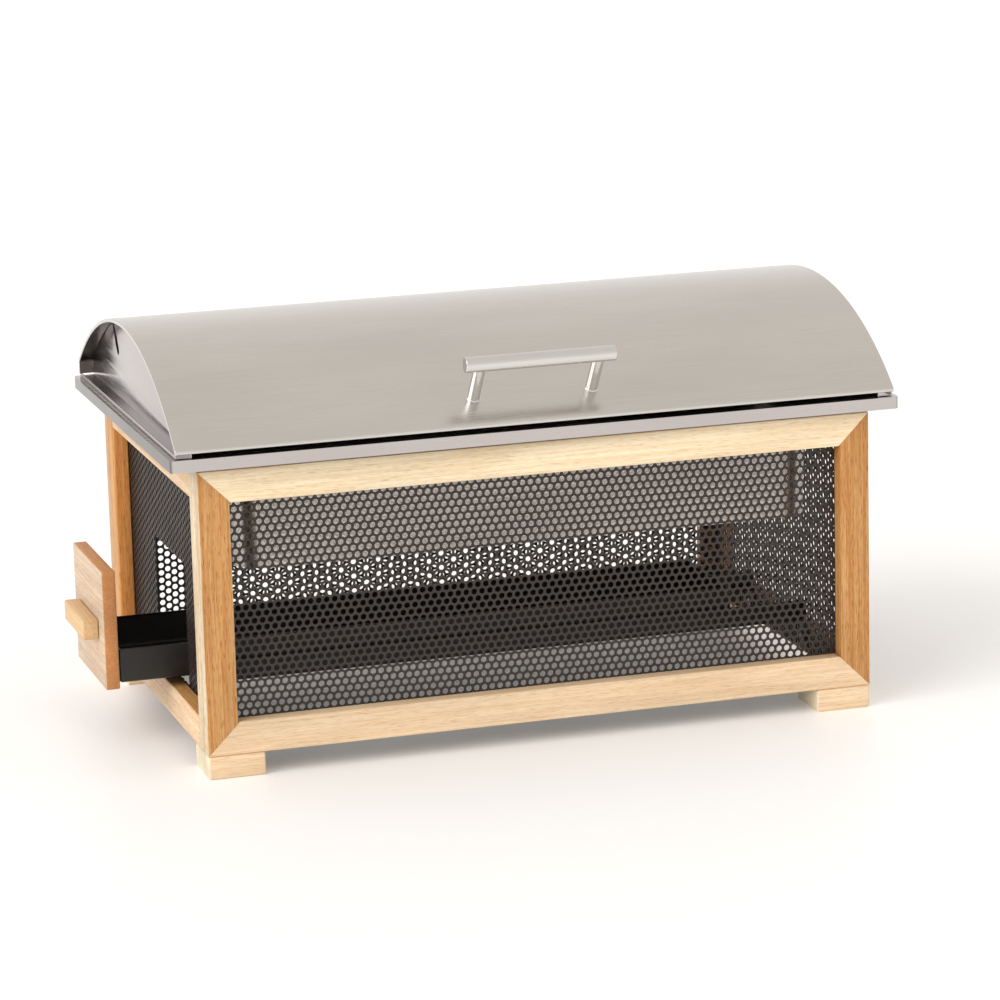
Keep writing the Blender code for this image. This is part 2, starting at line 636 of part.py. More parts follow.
def handle(body):
    """Round bar on two posts that stand square to the slope, each held by a screw from inside."""
    centre, outward, radius = handle_axes()
    middle = Vector((HANDLE_CENTRE_X, 0, 0)) + centre + outward * (radius + HANDLE_HEIGHT)
    half = Vector((HANDLE_LENGTH / 2, 0, 0))
    bar = bmesh.new()
    add_rod(bar, middle - half, middle + half, HANDLE_RADIUS, edge=0.6 * MM)
    finish(bar, "handle_bar", "bright_steel", body, ROUND_SHARP_ANGLE)
    for side, sx in (("left", -1), ("right", 1)):
        shift = Vector((HANDLE_CENTRE_X + sx * POST_SPACING / 2, 0, 0))
        foot = shift + centre + outward * (radius + GAP)
        top = shift + centre + outward * (radius + HANDLE_HEIGHT - 1 * MM)
        post = bmesh.new()
        add_rod(post, foot, top, POST_RADIUS)
        item = finish(post, f"handle_{side}_post", "bright_steel", body, ROUND_SHARP_ANGLE)
        saddle = bmesh.new()
        reach = Vector((POST_RADIUS * 2, 0, 0))
        saddle_centre = shift + centre + outward * (radius + HANDLE_HEIGHT)
        add_rod(saddle, saddle_centre - reach, saddle_centre + reach, HANDLE_RADIUS + GAP)
        boolean(item, cutter(saddle, f"handle_{side}_saddle", body), "DIFFERENCE")
        under = shift + centre + outward * (radius - LID_WALL - 2 * GAP)
        screw(f"handle_{side}_screw", under, -outward, HANDLE_SCREW_RADIUS, HANDLE_SCREW_HEIGHT, body)


# Hinges ------------------------------------------------------------------------------------------------


def knuckle(x_low, x_high):
    target = bmesh.new()
    add_rod(target, (x_low, HINGE_AXIS_Y, HINGE_AXIS_Z), (x_high, HINGE_AXIS_Y, HINGE_AXIS_Z), KNUCKLE_RADIUS)
    return target


def hinge_bore(x, name, holder):
    reach = HINGE_WIDTH
    bore = bmesh.new()
    add_rod(bore, (x - reach, HINGE_AXIS_Y, HINGE_AXIS_Z), (x + reach, HINGE_AXIS_Y, HINGE_AXIS_Z),
            PIN_RADIUS + GAP)
    return cutter(bore, name, holder)


def hinge(side, x, base, body):
    """Base leaf on the rim's skirt with the middle knuckle; lid leaf on the lid's rear band with two."""
    half, knuckle_half = HINGE_WIDTH / 2, KNUCKLE_WIDTH / 2
    base_face = RIM_HALF[1] + GAP
    notch = HINGE_AXIS_Z - KNUCKLE_RADIUS - HINGE_NOTCH_GAP

    leaf = box(f"{side}_hinge_base_leaf", (x - half, base_face, RIM_BOTTOM + 0.5 * MM),
               (x + half, base_face + LEAF_THICKNESS, notch), "bright_steel", base)
    tongue = bmesh.new()
    add_box(tongue, (x - knuckle_half, base_face, notch - 1 * MM),
            (x + knuckle_half, base_face + LEAF_THICKNESS, HINGE_AXIS_Z))
    boolean(leaf, cutter(tongue, f"{side}_hinge_tongue", base), "UNION")
    middle = cutter(knuckle(x - knuckle_half, x + knuckle_half), f"{side}_hinge_middle_knuckle", base)
    boolean(leaf, middle, "UNION")
    boolean(leaf, hinge_bore(x, f"{side}_hinge_base_bore", base), "DIFFERENCE")

    lid_face = LID_BACK + GAP
    web_low = HINGE_AXIS_Z + HINGE_WEB_RISE
    web_high = web_low + LEAF_THICKNESS
    lid_leaf = box(f"{side}_hinge_lid_leaf", (x - half, lid_face, web_low),
                   (x + half, lid_face + LEAF_THICKNESS, LID_BACK_BAND[1]), "bright_steel", body)
    barrels = (("a", x - half, x - knuckle_half - GAP), ("b", x + knuckle_half + GAP, x + half))
    for end, x_low, x_high in barrels:
        web = bmesh.new()
        add_box(web, (x_low, lid_face + LEAF_THICKNESS / 2, web_low), (x_high, HINGE_AXIS_Y, web_high))
        boolean(lid_leaf, cutter(web, f"{side}_hinge_web_{end}", body), "UNION")
        barrel = cutter(knuckle(x_low, x_high), f"{side}_hinge_knuckle_{end}", body)
        boolean(lid_leaf, barrel, "UNION")
    boolean(lid_leaf, hinge_bore(x, f"{side}_hinge_lid_bore", body), "DIFFERENCE")

    pin = bmesh.new()
    add_rod(pin, (x - half, HINGE_AXIS_Y, HINGE_AXIS_Z), (x + half, HINGE_AXIS_Y, HINGE_AXIS_Z),
            PIN_RADIUS, PIN_STEPS)
    finish(pin, f"{side}_hinge_pin", "bright_steel", base, ROUND_SHARP_ANGLE)


# Assembly ----------------------------------------------------------------------------------------------


def assembly_shift():
    """How far the assembly moves so that its outer box stands centred over the origin."""
    left = -BASE_LENGTH / 2 - DRAWER_OPEN - GAP - PULL_DEPTH
    right = RIM_HALF[0]
    centre, outward, radius = handle_axes()
    front = (centre + outward * (radius + HANDLE_HEIGHT)).y - HANDLE_RADIUS
    back = HINGE_AXIS_Y + KNUCKLE_RADIUS
    return (-(left + right) / 2, -(front + back) / 2, 0)


def main():
    clear_scene()
    root = bpy.data.objects.new("assembly", None)
    bpy.context.collection.objects.link(root)
    root.location = assembly_shift()
    base = empty("base", root, (0, 0, 0))
    drawer_body = empty("drawer", root, (-BASE_LENGTH / 2, 0, TRAY_BOTTOM))
    lid_body = empty("lid", root, (0, HINGE_AXIS_Y, HINGE_AXIS_Z))

    timber_base(base)
    panels(base)
    runners(base)
    water_pan(base)
    food_pan(base)
    drawer(drawer_body)
    lid_shell(lid_body)
    end_plates(lid_body)
    handle(lid_body)
    hinge("left", -HINGE_X, base, lid_body)
    hinge("right", HINGE_X, base, lid_body)


main()
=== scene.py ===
"""Looks for the oak and steel food warmer, built round its packed solids.

Every piece stands where the packed part says, in metres, X along the length, Y from front to back and Z up.
Section sizes are given from the middle of the oak base, and placed() moves them to where it stands.
"""

import math

import bmesh
import bpy
from bpy.props import FloatProperty, FloatVectorProperty, PointerProperty
from mathutils import Euler, Matrix, Vector


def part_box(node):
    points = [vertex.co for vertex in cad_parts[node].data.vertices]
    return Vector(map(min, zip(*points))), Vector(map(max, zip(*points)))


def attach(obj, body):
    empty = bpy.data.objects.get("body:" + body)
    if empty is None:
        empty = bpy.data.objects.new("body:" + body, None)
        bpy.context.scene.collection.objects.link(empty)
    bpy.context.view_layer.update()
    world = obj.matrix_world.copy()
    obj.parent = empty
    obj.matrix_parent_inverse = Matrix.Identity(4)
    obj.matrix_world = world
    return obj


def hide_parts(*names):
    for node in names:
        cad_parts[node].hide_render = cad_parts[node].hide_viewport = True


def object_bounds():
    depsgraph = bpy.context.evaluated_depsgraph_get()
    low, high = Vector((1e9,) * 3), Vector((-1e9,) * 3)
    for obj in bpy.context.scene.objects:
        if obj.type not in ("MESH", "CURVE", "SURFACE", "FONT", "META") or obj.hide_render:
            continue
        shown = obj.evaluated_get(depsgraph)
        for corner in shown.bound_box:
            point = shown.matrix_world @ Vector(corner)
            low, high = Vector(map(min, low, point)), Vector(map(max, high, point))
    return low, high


bl_info = {
    "name": "Oak Food Warmer",
    "version": (1, 0, 0),
    "blender": (4, 5, 0),
    "location": "3D View > Sidebar > Food Warmer",
    "description": "Builds the finished looks of an oak and steel food warmer round its packed solids",
    "category": "Object",
}

MM = 0.001

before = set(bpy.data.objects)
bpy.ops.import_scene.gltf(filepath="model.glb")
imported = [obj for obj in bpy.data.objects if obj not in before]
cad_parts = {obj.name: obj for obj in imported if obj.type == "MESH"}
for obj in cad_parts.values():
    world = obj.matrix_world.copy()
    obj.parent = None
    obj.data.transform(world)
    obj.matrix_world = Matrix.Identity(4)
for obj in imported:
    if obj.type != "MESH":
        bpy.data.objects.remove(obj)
CAD_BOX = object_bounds()

RIM_LOW, RIM_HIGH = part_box("water_pan")
FOOD_LOW, FOOD_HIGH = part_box("food_pan")
LID_LOW, LID_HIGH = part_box("lid_shell")
BAR_LOW, BAR_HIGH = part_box("handle_bar")
MIDDLE = Vector(((RIM_LOW.x + RIM_HIGH.x) / 2, (RIM_LOW.y + RIM_HIGH.y) / 2, 0))

# Oak: length and width of each feature of the grain, how strongly it shows, and the steps of an arris.
DRIFT = (220 * MM, 22 * MM)
GROWTH_LENGTH = 110 * MM
FLECK = (9 * MM, 0.8 * MM)
QUIET_FIGURE = 0.55
SIDE_RAIL_FIGURE = 0.8
STILE_FIGURE = 1.3
DRAWER_FIGURE = 0.7
PULL_FIGURE = 0.5
ARRIS_STEPS = 4

# Water pan: its sheet, shapes as half sizes along X and Y with a plan corner, and the ledge's height.
SHEET = 1 * MM
RECESS = (265.5 * MM, 163 * MM, 22 * MM)
WELL_TOP = (240 * MM, 142 * MM, 30 * MM)
WELL_FLOOR = (229 * MM, 131 * MM, 30 * MM)
RIM_CORNER = 4 * MM
LEDGE = 240.3 * MM

# Food pan.
FOOD_CORNER = 26 * MM
FOOD_TOP = (232 * MM, 134 * MM, FOOD_CORNER)
FOOD_FLOOR = (220 * MM, 122 * MM, FOOD_CORNER)
FOOD_FLANGE_CORNER = 20.5 * MM
FLOOR_INSET = 20 * MM

# Lid section.
HEM_TOP = 259.5 * MM
HEM_LOW = 256.5 * MM
HEM_DEPTH = 3.2 * MM
SHOULDER = 266 * MM
ARC_STEPS = 48
LIP_DEPTH = 2.8 * MM
LIP_THICKNESS = 1.3 * MM

# Tray and screws.
TRAY_INSET = 12 * MM
LID_SCREW_HEIGHT = 2.6 * MM
SCREW_STEPS = 40

# Meshing: steps of round shapes, and the angles in degrees above which an edge stays sharp or is rounded.
CORNER_STEPS = 12
ROUND_STEPS = 64
PIN_STEPS = 32
SMOOTH_ANGLE = 32
WOOD_SMOOTH_ANGLE = 50
THIN_SMOOTH_ANGLE = 40
PLATE_EDGE_ANGLE = 45
ALONG_X = Vector((1, 0, 0))


def tone(red, green, blue):
    """A display colour from 0 to 255 as the linear colour that a shader takes."""
    def linear(value):
        share = value / 255
        return share / 12.92 if share <= 0.04045 else ((share + 0.055) / 1.055) ** 2.4
    return (linear(red), linear(green), linear(blue))


# Shader parts --------------------------------------------------------------------------------------------


def new_material(name):
    made = bpy.data.materials.new(name)
    made.use_nodes = True
    return made, made.node_tree, made.node_tree.nodes["Principled BSDF"]


def grain_coordinates(tree, along, across, axis=None, offset=0.0):
    """Object coordinates in units of along on the grain's axis and of across on the other two."""
    source = tree.nodes.new("ShaderNodeTexCoord")
    mapping = tree.nodes.new("ShaderNodeMapping")
    scale = [1 / across] * 3
    if axis:
        scale["XYZ".index(axis)] = 1 / along
    mapping.inputs["Scale"].default_value = scale
    mapping.inputs["Location"].default_value = (offset, offset, offset)
    tree.links.new(source.outputs["Object"], mapping.inputs["Vector"])
    return mapping.outputs["Vector"]


def noise(tree, vector, detail=2.0, distortion=0.0):
    node = tree.nodes.new("ShaderNodeTexNoise")
    node.inputs["Scale"].default_value = 1
    node.inputs["Detail"].default_value = detail
    node.inputs["Distortion"].default_value = distortion
    tree.links.new(vector, node.inputs["Vector"])
    return node.outputs["Fac"]


def mapped(tree, value, low, high, to_low, to_high):
    node = tree.nodes.new("ShaderNodeMapRange")
    for socket, number in (("From Min", low), ("From Max", high), ("To Min", to_low), ("To Max", to_high)):
        node.inputs[socket].default_value = number
    tree.links.new(value, node.inputs["Value"])
    return node.outputs["Result"]


def arithmetic(tree, operation, first, second=None):
    node = tree.nodes.new("ShaderNodeMath")
    node.operation = operation
    for socket, value in zip(node.inputs, (first, second)):
        if isinstance(value, (int, float)):
            socket.default_value = value
        elif value is not None:
            tree.links.new(value, socket)
    return node.outputs["Value"]


def mixed(tree, factor, first, second, blend="MIX"):
    """A mix of two colours; each of the three may be a socket or a fixed value."""
    node = tree.nodes.new("ShaderNodeMix")
    node.data_type = "RGBA"
    node.blend_type = blend
    for name, value in (("Factor_Float", factor), ("A_Color", first), ("B_Color", second)):
        socket = next(s for s in node.inputs if s.identifier == name)
        if isinstance(value, bpy.types.NodeSocket):
            tree.links.new(value, socket)
        else:
            socket.default_value = value if isinstance(value, (int, float)) else (*value, 1)
    return next(s for s in node.outputs if s.identifier == "Result_Color")


def grey(tree, value, low, high):
    """A grey colour from low to high for a value from 0.3 to 0.7."""
    node = tree.nodes.new("ShaderNodeCombineColor")
    level = mapped(tree, value, 0.3, 0.7, low, high)
    for socket in node.inputs:
        tree.links.new(level, socket)
    return node.outputs["Color"]


def bumped(tree, shader, height, strength, depth):
    node = tree.nodes.new("ShaderNodeBump")
    node.inputs["Strength"].default_value = strength
    node.inputs["Distance"].default_value = depth
    tree.links.new(height, node.inputs["Height"])
    tree.links.new(node.outputs["Normal"], shader.inputs["Normal"])


# Finishes ------------------------------------------------------------------------------------------------


def oak(name, axis, broad, edge, offset=0.0, figure=1.0):
    """Oiled oak with its grain along an axis: broad is the tone of faces that look along X, edge of the rest.

    The offset moves the grain, so that no two finishes share it.
    The figure is how strongly growth lines and pores show.
    """
    settings = bpy.context.scene.warmer_oak
    made, tree, shader = new_material(name)
    # Lit and shaded copies: for the left stiles, the feet and the side frames' rear stiles, the split between
    # broad and edge tones holds painted light.
    colour = mixed(tree, looks_along_x(tree), edge, broad)

    drift = noise(tree, grain_coordinates(tree, *DRIFT, axis, offset), 2, 0.4)
    colour = mixed(tree, 1.0, colour, grey(tree, drift, 0.88, 1.1), "MULTIPLY")
    lines = grain_coordinates(tree, GROWTH_LENGTH, settings.growth_spacing, axis, offset)
    growth = noise(tree, lines, 3, 0.9)
    late_wood = mapped(tree, growth, 0.42, 0.6, settings.growth_contrast * figure, 0)
    colour = mixed(tree, late_wood, colour, settings.late_wood, "MULTIPLY")
    fleck = noise(tree, grain_coordinates(tree, *FLECK, axis, offset + 3), 2)
    colour = mixed(tree, mapped(tree, fleck, 0.55, 0.75, 0, 0.35), colour, settings.fleck, "SCREEN")
    pore = noise(tree, grain_coordinates(tree, settings.pore_length, settings.pore_width, axis, offset), 1)
    open_pore = mapped(tree, pore, 0.57, 0.68, 0, settings.pore_contrast * figure)
    colour = mixed(tree, open_pore, colour, settings.pore, "MULTIPLY")
    tree.links.new(colour, shader.inputs["Base Color"])
    tree.links.new(mapped(tree, growth, 0.3, 0.7, 0.62, 0.48), shader.inputs["Roughness"])
    shader.inputs["Specular IOR Level"].default_value = 0.35
    height = arithmetic(tree, "SUBTRACT", mapped(tree, growth, 0.35, 0.65, 0, 0.35), open_pore)
    bumped(tree, shader, height, 0.5, 0.12 * MM)
    return made


def component(tree, kind, axis):
    """One axis of a piece's own coordinates: kind is Object for places and Normal for directions."""
    source = tree.nodes.new("ShaderNodeTexCoord")
    split = tree.nodes.new("ShaderNodeSeparateXYZ")
    tree.links.new(source.outputs[kind], split.inputs["Vector"])
    return split.outputs[axis]


def below(tree, height):
    """1 for the parts of a piece that lie under a height, 0 for the rest."""
    return mapped(tree, component(tree, "Object", "Z"), height - 1 * MM, height, 1, 0)


def looks_along_x(tree):
    """1 for faces that look along X, 0 for the rest."""
    return mapped(tree, arithmetic(tree, "ABSOLUTE", component(tree, "Normal", "X")), 0.35, 0.85, 0, 1)


def inside_arc(tree, centre):
    """1 for faces that look towards the axis of an arc along X, 0 for the rest."""
    source = tree.nodes.new("ShaderNodeTexCoord")
    offset = tree.nodes.new("ShaderNodeVectorMath")
    offset.operation = "SUBTRACT"
    offset.inputs[1].default_value = centre
    tree.links.new(source.outputs["Object"], offset.inputs[0])
    facing = tree.nodes.new("ShaderNodeVectorMath")
    facing.operation = "DOT_PRODUCT"
    tree.links.new(offset.outputs["Vector"], facing.inputs[0])
    tree.links.new(source.outputs["Normal"], facing.inputs[1])
    return mapped(tree, facing.outputs["Value"], -0.1, -0.02, 1, 0)


def brushed_steel(name, colour, roughness, axis="X", scratch=0.1, areas=()):
    """Stainless sheet with fine brush lines along an axis and a faint cloudiness from handling.

    The areas are (colour, choose) pairs: where choose(tree) gives 1, the sheet takes that colour; the callers
    use them for painted light and painted shade.
    """
    made, tree, shader = new_material(name)
    shader.inputs["Metallic"].default_value = 1
    lines = noise(tree, grain_coordinates(tree, 60 * MM, 0.3 * MM, axis), 3)
    cloud = noise(tree, grain_coordinates(tree, 140 * MM, 45 * MM, axis), 2)
    for area_colour, choose in areas:
        colour = mixed(tree, choose(tree), colour, area_colour)
    body = mixed(tree, 1.0, colour, grey(tree, cloud, 0.965, 1.035), "MULTIPLY")
    body = mixed(tree, 1.0, body, grey(tree, lines, 0.96, 1.03), "MULTIPLY")
    tree.links.new(body, shader.inputs["Base Color"])
    streak = mapped(tree, lines, 0.3, 0.7, roughness * 0.85, roughness * 1.15)
    smudge = mapped(tree, cloud, 0.35, 0.7, -0.02, 0.025)
    tree.links.new(arithmetic(tree, "ADD", streak, smudge), shader.inputs["Roughness"])
    bumped(tree, shader, lines, scratch, 0.02 * MM)
    return made


def bright_steel(name, colour, roughness):
    """Polished stainless sheet: nearly a mirror, slightly wavy as thin sheet is."""
    made, tree, shader = new_material(name)
    shader.inputs["Metallic"].default_value = 1
    wave = noise(tree, grain_coordinates(tree, 1, 50 * MM), 1)
    haze = noise(tree, grain_coordinates(tree, 40 * MM, 1 * MM, "Y"), 3)
    tree.links.new(mixed(tree, 1.0, colour, grey(tree, haze, 0.97, 1.02), "MULTIPLY"),
                   shader.inputs["Base Color"])
    tree.links.new(mapped(tree, haze, 0.3, 0.7, roughness * 0.8, roughness * 1.3), shader.inputs["Roughness"])
    bumped(tree, shader, wave, 0.2, 0.2 * MM)
    return made


def powder_coat(name, colour, roughness):
    """Black powder coat with its fine orange-peel skin."""
    made, tree, shader = new_material(name)
    skin = noise(tree, grain_coordinates(tree, 1, 0.55 * MM), 2)
    dust = noise(tree, grain_coordinates(tree, 1, 22 * MM), 3)
    body = mixed(tree, 1.0, colour, grey(tree, dust, 0.8, 1.25), "MULTIPLY")
    tree.links.new(body, shader.inputs["Base Color"])
    tree.links.new(mapped(tree, dust, 0.3, 0.7, roughness * 0.88, roughness * 1.12),
                   shader.inputs["Roughness"])
    bumped(tree, shader, skin, 0.25, 0.06 * MM)
    return made


# Mesh parts ----------------------------------------------------------------------------------------------


def placed(x, y, z):
    """A point given from the middle of the base, where it stands."""
    return MIDDLE + Vector((x, y, z))


def piece(work, name, finish, body, stands_for, smooth_angle=SMOOTH_ANGLE):
    """Makes a finished piece of a bmesh: it rides on a body and stands for its packed nodes."""
    bmesh.ops.recalc_face_normals(work, faces=work.faces)
    mesh = bpy.data.meshes.new(name)
    work.to_mesh(mesh)
    work.free()
    mesh.shade_smooth()
    mesh.set_sharp_from_angle(angle=math.radians(smooth_angle))
    mesh.materials.append(finish)
    item = bpy.data.objects.new(name, mesh)
    bpy.context.scene.collection.objects.link(item)
    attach(item, body)
    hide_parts(*stands_for)
    return item


def eased(node, width, segments=2, edge_angle=20):
    """A packed solid with its flat faces made whole and its arrises rounded by width."""
    work = bmesh.new()
    work.from_mesh(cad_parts[node].data)
    bmesh.ops.remove_doubles(work, verts=work.verts, dist=0.01 * MM)
    bmesh.ops.dissolve_limit(work, angle_limit=math.radians(0.5), verts=work.verts, edges=work.edges)
    sharp = [e for e in work.edges
             if e.is_manifold and abs(e.calc_face_angle(0)) > math.radians(edge_angle)]
    bmesh.ops.bevel(work, geom=sharp, offset=width, segments=segments, profile=0.5,
                    affect="EDGES", clamp_overlap=True)
    return work


def rounded_line(corners, steps=5):
    """A line through (point, radius) corners, each turned on a curve that starts about radius away."""
    line = []
    for i, (corner, radius) in enumerate(corners):
        corner = Vector(corner)
        if radius == 0 or i in (0, len(corners) - 1):
            line.append(corner)
            continue
        before, after = Vector(corners[i - 1][0]), Vector(corners[i + 1][0])
        reach = min(radius, (corner - before).length * 0.49, (after - corner).length * 0.49)
        start = corner + (before - corner).normalized() * reach
        end = corner + (after - corner).normalized() * reach
        for step in range(steps + 1):
            share = step / steps
            line.append(start.lerp(corner, share).lerp(corner.lerp(end, share), share))
    return line


def plan_ring(work, half_x, half_y, corner, height):
    """A ring of vertices round the base's middle: a rectangle with round corners."""
    ring = []
    for quarter, (sx, sy) in enumerate(((1, 1), (-1, 1), (-1, -1), (1, -1))):
        for step in range(CORNER_STEPS + 1):
            angle = math.pi / 2 * (quarter + step / CORNER_STEPS)
            x = sx * (half_x - corner) + corner * math.cos(angle)
            y = sy * (half_y - corner) + corner * math.sin(angle)
            ring.append(work.verts.new(placed(x, y, height)))
    return ring


def join_rings(work, rings, around=False):
    """Skins rings of vertices with quads; around also joins the last ring to the first."""
    pairs = list(zip(rings, rings[1:]))
    if around:
        pairs.append((rings[-1], rings[0]))
    for lower, upper in pairs:
        for i, vertex in enumerate(lower):
            j = (i + 1) % len(lower)
            work.faces.new((vertex, lower[j], upper[j], upper[i]))


def capped(work, rings):
    join_rings(work, rings)
    work.faces.new(rings[0])
    work.faces.new(rings[-1])


def turned(line, foot, along, steps=ROUND_STEPS):
    """A closed turned shape: (height, radius) points round an axis that starts at foot."""
    turn = Vector(along).to_track_quat("Z", "Y").to_matrix()
    work = bmesh.new()
    rings = []
    for height, radius in line:
        ring = []
        for step in range(steps):
            angle = 2 * math.pi * step / steps
            around = Vector((radius * math.cos(angle), radius * math.sin(angle), height))
            ring.append(work.verts.new(foot + turn @ around))
        rings.append(ring)
    capped(work, rings)
    return work


def loose(work, name):
    """A plain object that only serves as a cutting tool."""
    bmesh.ops.recalc_face_normals(work, faces=work.faces)
    mesh = bpy.data.meshes.new(name)
    work.to_mesh(mesh)
    work.free()
    item = bpy.data.objects.new(name, mesh)
    bpy.context.scene.collection.objects.link(item)
    return item


def cut(work, tools):
    """The shape of a bmesh with each tool's shape taken out, as a new bmesh."""
    blank = loose(work, "blank")
    cutters = [loose(tool, "cutter") for tool in tools]
    for cutter in cutters:
        change = blank.modifiers.new("cut", "BOOLEAN")
        change.operation = "DIFFERENCE"
        change.solver = "EXACT"
        change.object = cutter
    result = bmesh.new()
    evaluated = blank.evaluated_get(bpy.context.evaluated_depsgraph_get())
    result.from_mesh(evaluated.to_mesh())
    evaluated.to_mesh_clear()
    for item in (blank, *cutters):
        bpy.data.objects.remove(item, do_unlink=True)
    return result


# Oak -----------------------------------------------------------------------------------------------------


def oak_piece(work, node, finish):
    body = "drawer" if node.startswith("drawer") else "base"
    piece(work, f"oak_{node}", finish, body, [node], smooth_angle=WOOD_SMOOTH_ANGLE)


def mitred(node, along):
    """A member of a picture frame: a rounded section along an axis, its ends on the frame's mitres."""
    settings = bpy.context.scene.warmer_oak
    row = node.split("_")[0]
    low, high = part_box(node)
    frame_low, frame_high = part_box(f"{row}_left_stile")[0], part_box(f"{row}_right_stile")[1]
    frame_low.z, frame_high.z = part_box(f"{row}_bottom_rail")[0].z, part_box(f"{row}_top_rail")[1].z
    run, across = "XYZ".index(along), "ZYX".index(along)
    middle = (low + high) / 2
    outer = 1 if middle[across] > (frame_low + frame_high)[across] / 2 else -1
    half_width, half_depth = (high[across] - low[across]) / 2, (high.y - low.y) / 2
    arris, gap = settings.arris, settings.joint_gap
    section = []
    for quarter, (hand, face) in enumerate(((1, 1), (-1, 1), (-1, -1), (1, -1))):
        for step in range(ARRIS_STEPS):
            angle = math.pi / 2 * (quarter + step / (ARRIS_STEPS - 1))
            section.append((hand * (half_width - arris) + arris * math.cos(angle),
                            face * (half_depth - arris) + arris * math.sin(angle)))
    work = bmesh.new()
    rings = []
    for end in (-1, 1):
        ring = []
        for aside, deep in section:
            set_back = half_width - outer * aside + gap
            place = middle.copy()
            place[across] += aside
            place.y += deep
            place[run] = (frame_high[run] - set_back) if end > 0 else (frame_low[run] + set_back)
            ring.append(work.verts.new(place))
        rings.append(ring)
    capped(work, rings)
    return work


def build_oak_frame():
    settings = bpy.context.scene.warmer_oak
    pale, warm, side = tuple(settings.rail), tuple(settings.stile), tuple(settings.side)
    low_wood, arris = tuple(settings.low_wood), settings.arris
    # The pale top-rail tone is painted light against the shade under the rim.
    top_rail = oak("oak_rail", "X", pale, pale, 0, QUIET_FIGURE)
    low_rail = oak("oak_low_rail", "X", low_wood, low_wood, 7.4, QUIET_FIGURE)
    # The left stiles' faces that look along X take the side tone, which is mostly painted light.
    left_stile = oak("oak_left_stile", "Z", side, warm, 1.7, STILE_FIGURE)
    right_stile = oak("oak_right_stile", "Z", warm, warm, 2.9, STILE_FIGURE)
    rear_stile = oak("oak_rear_stile", "Z", tuple(settings.rear_side), warm, 5.2)
    # The deep tone on these stiles is partly painted light, lifting faces that sit in shade.
    deep_stile = oak("oak_deep_stile", "Z", warm, tuple(settings.deep), 9.6)
    side_rail = oak("oak_side_rail", "Y", tuple(settings.side_rail), warm, 4.1, SIDE_RAIL_FIGURE)
    # The feet's faces that look along X take the same side tone, which is mostly painted light.
    foot = oak("oak_foot", "X", side, low_wood, 6.3, QUIET_FIGURE)
    for row, left in (("front", left_stile), ("rear", rear_stile)):
        for place, finish in (("top", top_rail), ("bottom", low_rail)):
            node = f"{row}_{place}_rail"
            oak_piece(mitred(node, "X"), node, finish)
        for place, finish in (("left", left), ("right", right_stile)):
            node = f"{row}_{place}_stile"
            oak_piece(mitred(node, "Z"), node, finish)
            node = f"foot_{row}_{place}"
            oak_piece(eased(node, arris), node, foot)
    for end in ("left", "right"):
        for part, finish in (("top_rail", side_rail), ("bottom_rail", side_rail), ("front_stile", left_stile),
                             ("rear_stile", deep_stile)):
            node = f"{end}_side_{part}"
            oak_piece(eased(node, arris), node, finish)


def build_drawer_woodwork():
    settings = bpy.context.scene.warmer_oak
    face, edge, block = tuple(settings.drawer), tuple(settings.drawer_edge), tuple(settings.pull)
    front = oak("oak_drawer_front", "Y", face, edge, 8.9, DRAWER_FIGURE)
    pull = oak("oak_drawer_pull", "Y", block, block, 11.3, PULL_FIGURE)
    for node, finish in (("drawer_front", front), ("drawer_pull", pull)):
        oak_piece(eased(node, settings.arris), node, finish)


# Perforated panels ---------------------------------------------------------------------------------------


def perforated_sheet(low, high, normal_axis, rows_upright=False, window=None):
    """A thin sheet between two corners with staggered round holes; no holes' cells inside the window."""
    settings = bpy.context.scene.warmer_panels
    half, rise, radius = settings.pitch / 2, settings.pitch * math.sqrt(3) / 2, settings.hole / 2
    w_axis, level_axis = "XYZ".index(normal_axis), "XYZ".index("Y" if normal_axis == "X" else "X")
    u_axis, v_axis = (2, level_axis) if rows_upright else (level_axis, 2)
    columns = int((high[u_axis] - low[u_axis]) / half)
    rows = int((high[v_axis] - low[v_axis]) / rise)
    left = (low[u_axis] + high[u_axis]) / 2 - columns * half / 2
    bottom = (low[v_axis] + high[v_axis]) / 2 - rows * rise / 2
    angles = [math.radians(30 * step - 90) for step in range(7)]
    ring = [(radius * math.cos(angle), radius * math.sin(angle)) for angle in angles]
    outline = [(0, -rise / 2), (half, -rise / 2), (half, rise / 2), (0, rise / 2)]
    index, places, faces = {}, [], []

    def point(u, v):
        key = (round(u / (0.001 * MM)), round(v / (0.001 * MM)))
        if key not in index:
            index[key] = len(places)
            places.append((u, v))
        return index[key]

    for row in range(rows):
        middle_v = bottom + (row + 0.5) * rise
        for column in range(columns):
            hole_on_left = (column + row) % 2 == 0
            hole_u = left + (column if hole_on_left else column + 1) * half
            hand = 1 if hole_on_left else -1
            cell = {u_axis: left + (column + 0.5) * half, v_axis: middle_v}
            if window and window[0] < cell[level_axis] < window[1] and window[2] < cell[2] < window[3]:
                continue
            corners = [point(hole_u + hand * u, middle_v + v) for u, v in outline]
            arc = [point(hole_u + hand * u, middle_v + v) for u, v in ring]
            for side in range(3):
                face = (corners[side], corners[side + 1], arc[2 * side + 2], arc[2 * side + 1], arc[2 * side])
                faces.append(face if hand == 1 else face[::-1])

    count = len(places)
    open_edges = set()
    for face in faces:
        for a, b in zip(face, face[1:] + face[:1]):
            if (b, a) in open_edges:
                open_edges.remove((b, a))
            else:
                open_edges.add((a, b))
    walls = [(b, a, a + count, b + count) for a, b in sorted(open_edges)]
    backs = [tuple(i + count for i in reversed(face)) for face in faces]
    vertices = []
    for w in (low[w_axis], high[w_axis]):
        for u, v in places:
            place = {u_axis: u, v_axis: v, w_axis: w}
            vertices.append([place[axis] for axis in range(3)])
    mesh = bpy.data.meshes.new("sheet")
    mesh.from_pydata(vertices, [], faces + backs + walls)
    work = bmesh.new()
    work.from_mesh(mesh)
    bpy.data.meshes.remove(mesh)
    return work


